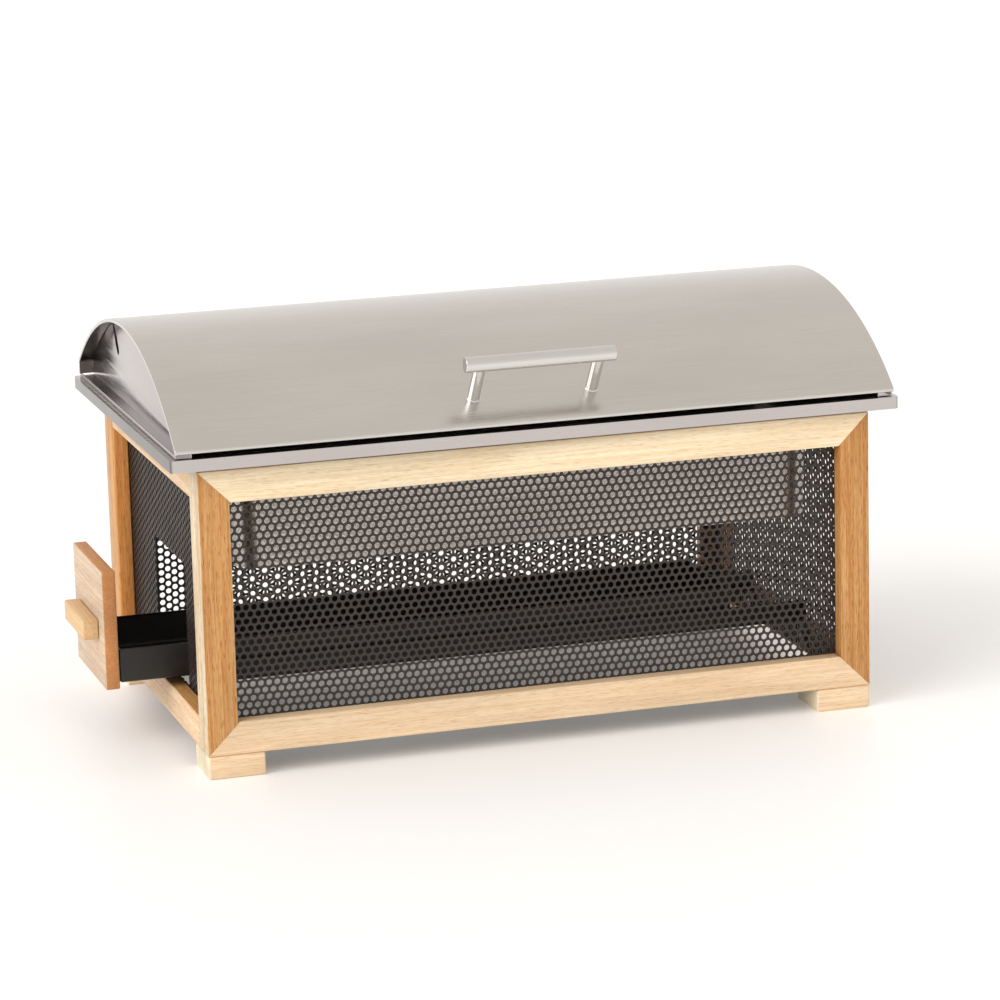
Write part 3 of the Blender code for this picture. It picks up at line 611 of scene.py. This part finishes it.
def build_panels():
    settings = bpy.context.scene.warmer_panels
    finish = powder_coat("panel_black", tuple(settings.colour), settings.roughness)
    for side, axis in (("front", "Y"), ("rear", "Y"), ("left", "X"), ("right", "X")):
        node = f"{side}_mesh_panel"
        low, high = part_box(node)
        window = None
        if side == "left":
            tray_low, tray_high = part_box("drawer_tray")
            reach = settings.window_margin
            window = (tray_low.y - reach, tray_high.y + reach, settings.window_bottom, settings.window_top)
        work = perforated_sheet(low, high, axis, side != "front", window)
        piece(work, f"{side}_perforated_panel", finish, "base", [node], THIN_SMOOTH_ANGLE)


# Tray and runners ----------------------------------------------------------------------------------------


def build_tray():
    settings = bpy.context.scene.warmer_steel
    finish = powder_coat("tray_black", tuple(settings.tray), 0.42)
    low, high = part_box("drawer_tray")
    wall, bend = settings.tray_wall, settings.tray_bend
    work = bmesh.new()
    section = [(-TRAY_INSET, wall, 0), (-wall, wall, 3 * MM), (-wall, high.z - low.z - wall, 0.5 * MM),
               (-wall - 1 * MM, high.z - low.z, 0.6 * MM), (0, high.z - low.z, 0.8 * MM), (0, 0, 3 * MM),
               (-TRAY_INSET, 0, 0)]
    line = rounded_line([((grow, height), radius) for grow, height, radius in section])
    half_x, half_y = (high.x - low.x) / 2, (high.y - low.y) / 2
    rings = [plan_ring(work, half_x + grow, half_y + grow, max(bend + grow, 0.6 * MM), low.z + height)
             for grow, height in line]
    capped(work, rings)
    shift = Vector(((low.x + high.x) / 2, (low.y + high.y) / 2, 0)) - MIDDLE
    bmesh.ops.translate(work, verts=work.verts, vec=shift)
    piece(work, "fuel_tray", finish, "drawer", ["drawer_tray"])
    for side in ("front", "rear"):
        work = eased(f"{side}_runner", 0.35 * MM)
        piece(work, f"{side}_tray_runner", finish, "base", [f"{side}_runner"])


# Pans ----------------------------------------------------------------------------------------------------


def grown(shape, by):
    half_x, half_y, corner = shape
    return (half_x + by, half_y + by, max(corner + by, 1 * MM))


def pan(stations, name, finish, node):
    """A pan: a closed skin through (plan shape, height, edge radius) stations."""
    line = rounded_line([((*shape, height), radius) for shape, height, radius in stations])
    work = bmesh.new()
    capped(work, [plan_ring(work, *values) for values in line])
    piece(work, name, finish, "base", [node])


def build_pans():
    settings = bpy.context.scene.warmer_steel
    # Painted light: below the ledge the pan takes a much paler copy of its stainless, standing for the light
    # that reaches the well through the front mesh.
    # Painted shade: the pans' faces that look along X, the rim's two ends among them, take a much darker copy
    # of the same stainless.
    finish = brushed_steel("pan_steel", tuple(settings.pan), settings.pan_roughness, "X", 0.06,
                           [(tuple(settings.rim_side), looks_along_x),
                            (tuple(settings.well_light), lambda tree: below(tree, LEDGE - 2 * MM))])
    half_x, half_y = (RIM_HIGH.x - RIM_LOW.x) / 2, (RIM_HIGH.y - RIM_LOW.y) / 2
    rim, recess = (half_x, half_y, RIM_CORNER), RECESS
    top, skirt, floor = RIM_HIGH.z, RIM_HIGH.z - settings.skirt, RIM_LOW.z
    edge = settings.rim_edge
    pan([
        (grown(WELL_FLOOR, -FLOOR_INSET), floor + SHEET, 0),
        (grown(WELL_FLOOR, -SHEET), floor + SHEET, 9 * MM),
        (grown(WELL_TOP, -SHEET), LEDGE + SHEET, 4 * MM),
        (recess, LEDGE + SHEET, 2 * MM),
        (recess, top, 2 * MM),
        (rim, top, edge),
        (rim, skirt, 0.35 * MM),
        (grown(rim, -SHEET), skirt, 0.35 * MM),
        (grown(rim, -SHEET), top - SHEET, edge),
        (grown(recess, SHEET), top - SHEET, 1.5 * MM),
        (grown(recess, SHEET), LEDGE, 2 * MM),
        (WELL_TOP, LEDGE, 4 * MM),
        (WELL_FLOOR, floor, 9 * MM),
        (grown(WELL_FLOOR, -FLOOR_INSET), floor, 0),
    ], "water_pan_shell", finish, "water_pan")

    half_x, half_y = (FOOD_HIGH.x - FOOD_LOW.x) / 2, (FOOD_HIGH.y - FOOD_LOW.y) / 2
    flange = (half_x, half_y, FOOD_FLANGE_CORNER)
    top, floor, foot = FOOD_HIGH.z, FOOD_LOW.z, LEDGE + SHEET + 0.3 * MM
    pan([
        (grown(FOOD_FLOOR, -FLOOR_INSET), floor + SHEET, 0),
        (grown(FOOD_FLOOR, -SHEET), floor + SHEET, 8 * MM),
        (grown(FOOD_TOP, -SHEET), top, 3 * MM),
        (flange, top, 1.6 * MM),
        (flange, foot, 0.35 * MM),
        (grown(flange, -SHEET), foot, 0.35 * MM),
        (grown(flange, -SHEET), top - SHEET, 1.2 * MM),
        (FOOD_TOP, top - SHEET, 3 * MM),
        (FOOD_FLOOR, floor, 8 * MM),
        (grown(FOOD_FLOOR, -FLOOR_INSET), floor, 0),
    ], "food_pan_shell", finish, "food_pan")


# Lid -----------------------------------------------------------------------------------------------------


def lid_arc(run, foot_z):
    """Radius and centre height of the arc that rises from foot_z, run away from the middle, to the crown."""
    rise = LID_HIGH.z - foot_z
    radius = (run * run + rise * rise) / (2 * rise)
    return radius, LID_HIGH.z - radius


def front_arc():
    """Centre and radius of the lid's front arc, on which the handle stands."""
    radius, centre_z = lid_arc(MIDDLE.y - LID_LOW.y, HEM_TOP)
    return Vector((0, MIDDLE.y, centre_z)), radius


def lid_line(inset):
    """The lid's section from the front hem over the crown to the rear edge, moved inwards by inset."""
    front, back = MIDDLE.y - LID_LOW.y, LID_HIGH.y - MIDDLE.y
    corners = [((-front + inset, HEM_LOW), 0)]
    for run, foot_z, side in ((front, HEM_TOP, -1), (back, SHOULDER, 1)):
        radius, centre_z = lid_arc(run, foot_z)
        reach = math.asin((run - inset) / (radius - inset))
        for step in range(ARC_STEPS + 1):
            share = 1 - step / ARC_STEPS if side < 0 else step / ARC_STEPS
            if side > 0 and step == 0:
                continue
            angle = side * reach * share
            place = ((radius - inset) * math.sin(angle), centre_z + (radius - inset) * math.cos(angle))
            at_edge = share == 1
            corners.append((place, 2.2 * MM if at_edge else 0))
    corners.append(((back - inset, LID_LOW.z), 0))
    return rounded_line(corners)


def lid_section():
    """The closed section of the sheet, with the rolled hem at its front edge."""
    front = MIDDLE.y - LID_LOW.y
    outer, inner = lid_line(0), lid_line(SHEET)
    hem_back = -front + HEM_DEPTH
    radius, centre_z = lid_arc(front, HEM_TOP)
    hem_inside = centre_z + math.sqrt((radius - SHEET) ** 2 - hem_back ** 2)
    inside = [p for p in reversed(inner) if p[0] > hem_back + 0.5 * MM]
    corners = [(p, 0) for p in outer[1:]] + [(p, 0) for p in inside]
    corners += [((hem_back, hem_inside), 0.5 * MM), ((hem_back, HEM_LOW), 1.5 * MM),
                ((-front, HEM_LOW), 1.5 * MM), (outer[1], 0)]
    return rounded_line(corners)[:-1]


def lid_skin():
    """The long sheet of the lid, between its two end lips."""
    reach = (LID_HIGH.x - LID_LOW.x) / 2 - LIP_THICKNESS
    work = bmesh.new()
    rings = [[work.verts.new(placed(x, y, z)) for y, z in lid_section()] for x in (-reach, reach)]
    capped(work, rings)
    return work


def lid_lip(side):
    """The lip turned inwards at one end of the sheet, its edges rounded."""
    end = side * (LID_HIGH.x - LID_LOW.x) / 2
    back = end - side * LIP_THICKNESS
    corners = [((back, 0), 0), ((end, 0), 0.7 * MM), ((end, LIP_DEPTH), 0.5 * MM),
               ((back, LIP_DEPTH), 0.5 * MM), ((back, 0), 0)]
    work = bmesh.new()
    lines = [[work.verts.new(placed(x, y, z)) for y, z in lid_line(inset)]
             for x, inset in rounded_line(corners, 3)[:-1]]
    for line, beside in zip(lines, lines[1:] + lines[:1]):
        for i in range(len(line) - 1):
            work.faces.new((line[i], line[i + 1], beside[i + 1], beside[i]))
    for i in (0, -1):
        work.faces.new([line[i] for line in lines])
    return work


def slot_tool(node):
    """A tapered slot across an end plate, from its arched edge inwards: wide and round at its foot."""
    low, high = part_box(node)
    corners = [((84.5 * MM, 313.5 * MM), 0), ((73 * MM, 301 * MM), 4 * MM), ((66.5 * MM, 290.5 * MM), 4 * MM),
               ((72 * MM, 286.5 * MM), 4 * MM), ((78.5 * MM, 293 * MM), 4 * MM), ((89.5 * MM, 312 * MM), 0)]
    middle, reach = (low.x + high.x) / 2 - MIDDLE.x, 12 * MM
    work = bmesh.new()
    capped(work, [[work.verts.new(placed(x, y, z)) for y, z in rounded_line(corners)]
                  for x in (middle - reach, middle + reach)])
    return work


def build_lid():
    settings = bpy.context.scene.warmer_steel
    centre, _ = front_arc()
    # Painted shade: faces that look into the lid's arch take a dark copy of the lid stainless.
    brushed = brushed_steel("lid_steel", tuple(settings.lid), settings.lid_roughness, "X", 0.08,
                            [(tuple(settings.lid_inside_shade), lambda tree: inside_arc(tree, centre))])
    bright = bright_steel("end_plate_steel", tuple(settings.bright), settings.bright_roughness)
    piece(lid_skin(), "lid_sheet", brushed, "lid", ["lid_shell"])
    for side, sign in (("left", -1), ("right", 1)):
        piece(lid_lip(sign), f"lid_{side}_lip", brushed, "lid", ["lid_shell"])
        node = f"lid_{side}_end_plate"
        work = cut(eased(node, 0.3 * MM, edge_angle=PLATE_EDGE_ANGLE), [slot_tool(node)])
        piece(work, f"{side}_end_plate", bright, "lid", [node])


# Handle --------------------------------------------------------------------------------------------------


def rod(low, high, edge, steps=ROUND_STEPS):
    """A round rod along X that fills a box, its end edges rounded."""
    radius, length = (high.z - low.z) / 2, high.x - low.x
    line = rounded_line([((0, radius * 0.3), 0), ((0, radius), edge), ((length, radius), edge),
                         ((length, radius * 0.3), 0)])
    return turned(line, Vector((low.x, (low.y + high.y) / 2, (low.z + high.z) / 2)), ALONG_X, steps)


def out_to_bar():
    """The line across the lid's sheet from the front arc's centre to the handle's bar."""
    axis = (BAR_LOW + BAR_HIGH) / 2
    return Vector((0, axis.y, axis.z)) - front_arc()[0]


def build_handle():
    settings = bpy.context.scene.warmer_steel
    finish = brushed_steel("handle_steel", tuple(settings.handle), settings.handle_roughness, "X", 0.05)
    piece(rod(BAR_LOW, BAR_HIGH, 0.8 * MM), "handle_grip", finish, "lid", ["handle_bar"])

    radius = (BAR_HIGH.z - BAR_LOW.z) / 2
    centre, arc_radius = front_arc()
    outward = out_to_bar().normalized()
    height = out_to_bar().length - arc_radius
    for side in ("left", "right"):
        low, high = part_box(f"handle_{side}_post")
        post_radius = (high.x - low.x) / 2
        foot = Vector(((low.x + high.x) / 2, 0, 0)) + centre + outward * arc_radius
        weld = rounded_line([((0, post_radius + 0.8 * MM), 0), ((0.5 * MM, post_radius), 0.8 * MM),
                             ((height - radius, post_radius), 0),
                             ((height - radius + 1 * MM, post_radius), 0)])
        work = turned(weld, foot, outward)
        turn = outward.to_track_quat("Z", "Y").to_matrix()
        for vertex in work.verts:
            away = turn.inverted() @ (vertex.co - foot)
            if away.z > height - radius + 0.5 * MM:
                across = (vertex.co - foot - outward * away.z).dot(ALONG_X.cross(outward))
                saddle = height - math.sqrt(radius ** 2 - across ** 2) + 0.05 * MM
                vertex.co += outward * (saddle - away.z)
        piece(work, f"handle_{side}_standoff", finish, "lid", [f"handle_{side}_post"])


# Hinges and screws ---------------------------------------------------------------------------------------


def build_hinges():
    settings = bpy.context.scene.warmer_steel
    finish = brushed_steel("hinge_steel", tuple(settings.handle), 0.3, "X", 0.05)
    for side in ("left", "right"):
        for part, body in (("base_leaf", "base"), ("lid_leaf", "lid")):
            node = f"{side}_hinge_{part}"
            work = eased(node, 0.2 * MM, edge_angle=PLATE_EDGE_ANGLE)
            piece(work, f"{side}_rear_{part}", finish, body, [node], THIN_SMOOTH_ANGLE)
        node = f"{side}_hinge_pin"
        work = rod(*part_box(node), 0.5 * MM, PIN_STEPS)
        piece(work, f"{side}_rear_pin", finish, "base", [node])


def screw_head(foot, along, radius, height):
    """A domed head with a cross recess."""
    dome = [(0, radius), (height * 0.35, radius)]
    for step in range(1, 9):
        angle = math.pi / 2 * step / 9
        dome.append((height * (0.35 + 0.65 * math.sin(angle)), radius * math.cos(angle)))
    dome.append((height, radius * 0.08))
    turn = Vector(along).to_track_quat("Z", "Y").to_matrix().to_4x4()
    tools = []
    for quarter in (0, 1):
        tool = bmesh.new()
        size = Matrix.Diagonal((radius * 1.15, radius * 0.2, height, 1))
        place = Matrix.Translation((0, 0, height * 1.05)) @ Matrix.Rotation(quarter * math.pi / 2, 4, "Z")
        bmesh.ops.create_cube(tool, size=1, matrix=Matrix.Translation(foot) @ turn @ place @ size)
        tools.append(tool)
    return cut(turned(dome, foot, along, SCREW_STEPS), tools)


def build_screws():
    settings = bpy.context.scene.warmer_steel
    finish = bright_steel("screw_steel", tuple(settings.handle), 0.25)
    rows = [(f"drawer_{part}_screw_{side}", "drawer", 1)
            for part in ("front", "pull") for side in ("front", "rear")]
    rows += [(f"{side}_runner_screw_{end}", "base", 1 if end == "left" else -1)
             for side in ("front", "rear") for end in ("left", "right")]
    for node, body, sign in rows:
        low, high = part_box(node)
        foot = (low + high) / 2
        foot.x = low.x if sign > 0 else high.x
        work = screw_head(foot, ALONG_X * sign, (high.y - low.y) / 2, high.x - low.x)
        piece(work, f"{node}_head", finish, body, [node])

    centre, arc_radius = front_arc()
    outward = out_to_bar().normalized()
    for side in ("left", "right"):
        node = f"handle_{side}_screw"
        low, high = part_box(node)
        foot = Vector(((low.x + high.x) / 2, 0, 0)) + centre + outward * (arc_radius - SHEET - 0.1 * MM)
        work = screw_head(foot, -outward, (high.x - low.x) / 2, LID_SCREW_HEIGHT)
        piece(work, f"{node}_head", finish, "lid", [node])


# Stage ---------------------------------------------------------------------------------------------------


def build_floor(settings):
    made, _, shader = new_material("studio_floor")
    shader.inputs["Base Color"].default_value = (*settings.floor, 1)
    shader.inputs["Roughness"].default_value = 0.45
    shader.inputs["Emission Color"].default_value = (1, 1, 1, 1)
    shader.inputs["Emission Strength"].default_value = settings.floor_glow
    work = bmesh.new()
    bmesh.ops.create_grid(work, x_segments=1, y_segments=1, size=settings.floor_reach)
    mesh = bpy.data.meshes.new("floor")
    work.to_mesh(mesh)
    work.free()
    mesh.materials.append(made)
    floor = bpy.data.objects.new("floor", mesh)
    floor.location.z = CAD_BOX[0].z
    bpy.context.scene.collection.objects.link(floor)


def build_sky(settings):
    """A soft studio dome: brightest near the horizon, and calmer overhead."""
    world = bpy.data.worlds.new("studio")
    world.use_nodes = True
    bpy.context.scene.world = world
    tree = world.node_tree
    background = tree.nodes["Background"]
    source = tree.nodes.new("ShaderNodeTexCoord")
    split = tree.nodes.new("ShaderNodeSeparateXYZ")
    tree.links.new(source.outputs["Generated"], split.inputs["Vector"])
    dome = tree.nodes.new("ShaderNodeValToRGB")
    for stop, colour in zip(dome.color_ramp.elements, (settings.horizon, settings.zenith)):
        stop.color = (*colour, 1)
    for height, share in ((0.25, 0.32), (0.5, 0.8)):
        stop = dome.color_ramp.elements.new(height)
        stop.color = (*Vector(settings.horizon).lerp(Vector(settings.zenith), share), 1)
    tree.links.new(split.outputs["Z"], dome.inputs["Fac"])
    tree.links.new(dome.outputs["Color"], background.inputs["Color"])
    background.inputs["Strength"].default_value = settings.sky_strength


def build_key(settings):
    """A broad, soft light from the left, above and a little in front."""
    data = bpy.data.lights.new("key_light", "SUN")
    data.energy = settings.key_strength
    data.angle = settings.key_softness
    lamp = bpy.data.objects.new("key_light", data)
    lamp.rotation_euler = Vector(settings.key_direction).to_track_quat("Z", "Y").to_euler()
    bpy.context.scene.collection.objects.link(lamp)


def build_camera(settings):
    data = bpy.data.cameras.new("camera")
    data.lens = settings.lens
    data.sensor_width = 36
    data.shift_x, data.shift_y = settings.shift
    data.clip_start, data.clip_end = 0.05, 200
    camera = bpy.data.objects.new("camera", data)
    camera.location = settings.camera_place
    pitch, yaw, roll = settings.camera_angles
    camera.rotation_euler = (Euler((math.pi / 2 - pitch, 0, -yaw)).to_matrix()
                             @ Matrix.Rotation(roll, 3, "Z")).to_euler()
    bpy.context.scene.collection.objects.link(camera)
    bpy.context.scene.camera = camera


def build_stage():
    settings = bpy.context.scene.warmer_stage
    build_floor(settings)
    build_sky(settings)
    build_key(settings)
    build_camera(settings)
    bpy.context.scene.view_settings.view_transform = "Standard"


# Settings ------------------------------------------------------------------------------------------------


def colour_setting(name, description, value):
    return FloatVectorProperty(name=name, description=description, default=value, subtype="COLOR",
                               size=3, min=0, max=1)


def length_setting(name, description, value):
    return FloatProperty(name=name, description=description, default=value, min=0, subtype="DISTANCE",
                         unit="LENGTH", precision=4)


def share_setting(name, description, value):
    return FloatProperty(name=name, description=description, default=value, min=0, max=1, subtype="FACTOR")


class OakSettings(bpy.types.PropertyGroup):
    """Colours and grain of the oak."""

    # Painted light: the top rails take a paler tone than the bottom rails, though the oak is the same, to
    # offset the shade under the rim's overhang.
    rail: colour_setting("Rails", "Front of the top rails", tone(250, 233, 200))
    low_wood: colour_setting("Low wood", "Front of the bottom rails and the feet", tone(234, 209, 175))
    stile: colour_setting("Stiles", "Front of the upright pieces", tone(206, 157, 99))
    # Mostly painted light: this cream stands for the strong left-hand light washing out the faces that look
    # along X, laid over the oak's own tone.
    side: colour_setting("Side faces", "Faces that look along the length", tone(227, 218, 194))
    rear_side: colour_setting("Rear side faces", "Side face of the rear left stile", tone(206, 172, 136))
    # Partly painted light: the stile's own orange, made brighter to lift a face that sits in shade.
    deep: colour_setting("Deep tone", "Front of the side frames' rear stiles", tone(238, 170, 98))
    side_rail: colour_setting("Side rails", "Outer face of the side rails", tone(228, 203, 171))
    drawer: colour_setting("Drawer front", "Broad face of the drawer's front", tone(208, 188, 166))
    drawer_edge: colour_setting("Drawer edge", "Edges of the drawer's front", tone(206, 146, 92))
    pull: colour_setting("Pull", "The drawer's block pull", tone(216, 184, 140))
    late_wood: colour_setting("Late wood", "Tint of the dark growth lines", tone(236, 210, 178))
    fleck: colour_setting("Fleck", "Pale ray flecks", tone(70, 60, 45))
    pore: colour_setting("Pores", "Tint of the open pores", tone(176, 122, 74))
    growth_spacing: length_setting("Growth spacing", "Spacing of the growth lines", 2.2 * MM)
    growth_contrast: share_setting("Growth contrast", "Strength of the growth lines", 0.7)
    pore_length: length_setting("Pore length", "Length of a pore's dash", 9 * MM)
    pore_width: length_setting("Pore width", "Width of a pore's dash", 0.36 * MM)
    pore_contrast: share_setting("Pore contrast", "Strength of the pores", 0.6)
    arris: length_setting("Arris", "Rounding of the timber's edges", 0.5 * MM)
    joint_gap: length_setting("Joint gap", "Gap left on each side of a mitre", 0.05 * MM)


class PanelSettings(bpy.types.PropertyGroup):
    """The perforated panels."""

    pitch: length_setting("Pitch", "Distance between hole centres", 6.35 * MM)
    hole: length_setting("Hole", "Diameter of a hole", 4.76 * MM)
    window_margin: length_setting("Window margin", "Room beside the tray in the left panel", 2.7 * MM)
    window_bottom: length_setting("Window bottom", "Foot of the left panel's cut-out", 43.7 * MM)
    window_top: length_setting("Window top", "Top of the left panel's cut-out", 142.6 * MM)
    colour: colour_setting("Colour", "Powder coat of the panels", tone(45, 36, 31))
    roughness: share_setting("Roughness", "Roughness of the powder coat", 0.5)


class SteelSettings(bpy.types.PropertyGroup):
    """The lid, pans, handle, tray and hinges."""

    lid: colour_setting("Lid", "Brushed stainless of the lid", (0.62, 0.59, 0.555))
    pan: colour_setting("Pans", "Satin stainless of the pans", (0.53, 0.49, 0.475))
    # Painted shade: a darker copy of the pan stainless for the rim's two ends, not a different finish.
    rim_side: colour_setting("Rim sides", "Satin stainless of the rim's two ends", (0.2, 0.185, 0.18))
    # Painted light: a paler copy of the pan stainless for the well, not a different finish.
    well_light: colour_setting("Well", "Stainless of the water pan's well", (0.82, 0.76, 0.7))
    # Painted shade: a dark copy of the lid stainless for the inside of the arch.
    lid_inside_shade: colour_setting("Lining", "Mill finish inside the lid", (0.26, 0.24, 0.225))
    bright: colour_setting("End plates", "Polished stainless of the lid's ends", (0.49, 0.455, 0.46))
    handle: colour_setting("Handle", "Satin stainless of the handle", (0.66, 0.645, 0.62))
    tray: colour_setting("Tray", "Powder coat of the tray and its runners", tone(25, 24, 23))
    lid_roughness: share_setting("Lid roughness", "Roughness of the lid", 0.24)
    pan_roughness: share_setting("Pan roughness", "Roughness of the pans", 0.26)
    bright_roughness: share_setting("End plate roughness", "Roughness of the end plates", 0.19)
    handle_roughness: share_setting("Handle roughness", "Roughness of the handle", 0.14)
    skirt: length_setting("Rim skirt", "Depth of the water pan's turned-down edge", 9.5 * MM)
    rim_edge: length_setting("Rim edge", "Rounding of the water pan's outer edge", 4.6 * MM)
    tray_wall: length_setting("Tray wall", "Thickness of the tray's sheet", 1.2 * MM)
    tray_bend: length_setting("Tray bend", "Corner radius of the tray", 2.5 * MM)


class StageSettings(bpy.types.PropertyGroup):
    """Floor, light and camera."""

    floor: colour_setting("Floor", "Pale studio floor", (0.95, 0.95, 0.95))
    floor_reach: length_setting("Floor reach", "Half the floor's side", 60.0)
    floor_glow: FloatProperty(name="Floor glow", description="Light that the floor gives of itself",
                              default=0.09, min=0)
    horizon: colour_setting("Horizon", "Sky near the horizon", (1.0, 0.985, 0.965))
    zenith: colour_setting("Zenith", "Sky overhead", (0.84, 0.805, 0.765))
    sky_strength: FloatProperty(name="Sky strength", description="Strength of the sky", default=1.0, min=0)
    key_strength: FloatProperty(name="Key light", description="Strength of the soft light on the left",
                                default=1.6, min=0)
    key_softness: FloatProperty(name="Key softness", description="Angle that the key light fills",
                                default=math.radians(50), min=0, max=math.pi, subtype="ANGLE")
    key_direction: FloatVectorProperty(name="Key direction", description="Where the key light comes from",
                                       default=(-0.8, -0.3, 0.52), size=3, subtype="DIRECTION")
    lens: FloatProperty(name="Lens", description="Focal length in millimetres", default=149.8, min=1)
    shift: FloatVectorProperty(name="Shift", description="Camera shift", default=(0.005, -0.0049), size=2)
    camera_place: FloatVectorProperty(name="Camera place", description="Where the camera stands",
                                      default=(-0.91843, -3.13739, 0.91575), size=3, subtype="XYZ",
                                      unit="LENGTH")
    camera_angles: FloatVectorProperty(name="Camera angles", description="Pitch down, yaw right and roll",
                                       default=(math.radians(12.962), math.radians(16.918),
                                                math.radians(-1.482)), size=3, subtype="EULER")


# Operators -----------------------------------------------------------------------------------------------


class WARMER_OT_oak_frame(bpy.types.Operator):
    """Build the mitred frames, side frames and feet of the oak base"""

    bl_idname = "warmer.oak_frame"
    bl_label = "Oak Frame"

    def execute(self, context):
        build_oak_frame()
        return {"FINISHED"}


class WARMER_OT_drawer_woodwork(bpy.types.Operator):
    """Build the drawer's oak front and pull"""

    bl_idname = "warmer.drawer_woodwork"
    bl_label = "Drawer Woodwork"

    def execute(self, context):
        build_drawer_woodwork()
        return {"FINISHED"}


class WARMER_OT_perforated_panels(bpy.types.Operator):
    """Build the four perforated steel panels"""

    bl_idname = "warmer.perforated_panels"
    bl_label = "Perforated Panels"

    def execute(self, context):
        build_panels()
        return {"FINISHED"}


class WARMER_OT_tray_and_runners(bpy.types.Operator):
    """Build the fuel tray and the runners that carry it"""

    bl_idname = "warmer.tray_and_runners"
    bl_label = "Tray and Runners"

    def execute(self, context):
        build_tray()
        return {"FINISHED"}


class WARMER_OT_pans(bpy.types.Operator):
    """Build the water pan with its rim and the food pan in it"""

    bl_idname = "warmer.pans"
    bl_label = "Pans"

    def execute(self, context):
        build_pans()
        return {"FINISHED"}


class WARMER_OT_lid(bpy.types.Operator):
    """Build the arched lid, its end lips and its end plates"""

    bl_idname = "warmer.lid"
    bl_label = "Lid"

    def execute(self, context):
        build_lid()
        return {"FINISHED"}


class WARMER_OT_handle(bpy.types.Operator):
    """Build the bar handle and its two posts"""

    bl_idname = "warmer.handle"
    bl_label = "Handle"

    def execute(self, context):
        build_handle()
        return {"FINISHED"}


class WARMER_OT_hinges(bpy.types.Operator):
    """Build the two rear hinges and their pins"""

    bl_idname = "warmer.hinges"
    bl_label = "Hinges"

    def execute(self, context):
        build_hinges()
        return {"FINISHED"}


class WARMER_OT_screws(bpy.types.Operator):
    """Build the screw heads of the drawer, the runners and the handle"""

    bl_idname = "warmer.screws"
    bl_label = "Screws"

    def execute(self, context):
        build_screws()
        return {"FINISHED"}


class WARMER_OT_stage(bpy.types.Operator):
    """Set up the pale floor, the soft studio light and the camera"""

    bl_idname = "warmer.stage"
    bl_label = "Stage"

    def execute(self, context):
        build_stage()
        return {"FINISHED"}


OPERATORS = (WARMER_OT_oak_frame, WARMER_OT_drawer_woodwork, WARMER_OT_perforated_panels,
             WARMER_OT_tray_and_runners, WARMER_OT_pans, WARMER_OT_lid, WARMER_OT_handle,
             WARMER_OT_hinges, WARMER_OT_screws, WARMER_OT_stage)
SETTINGS = {"warmer_oak": OakSettings, "warmer_panels": PanelSettings, "warmer_steel": SteelSettings,
            "warmer_stage": StageSettings}


class WARMER_PT_panel(bpy.types.Panel):
    """The food warmer's settings and its building steps"""

    bl_idname = "WARMER_PT_panel"
    bl_label = "Food Warmer"
    bl_space_type = "VIEW_3D"
    bl_region_type = "UI"
    bl_category = "Food Warmer"

    def draw(self, context):
        for name, group in SETTINGS.items():
            box = self.layout.box()
            box.label(text=group.__doc__)
            for setting in group.__annotations__:
                box.prop(getattr(context.scene, name), setting)
        for step in OPERATORS:
            self.layout.operator(step.bl_idname)


def register():
    for group in (*SETTINGS.values(), *OPERATORS, WARMER_PT_panel):
        bpy.utils.register_class(group)
    for name, group in SETTINGS.items():
        setattr(bpy.types.Scene, name, PointerProperty(type=group))


def unregister():
    for name in SETTINGS:
        delattr(bpy.types.Scene, name)
    for group in (WARMER_PT_panel, *OPERATORS, *SETTINGS.values()):
        bpy.utils.unregister_class(group)


def main():
    register()
    for step in OPERATORS:
        section, action = step.bl_idname.split(".")
        getattr(getattr(bpy.ops, section), action)()


if __name__ == "__main__":
    main()
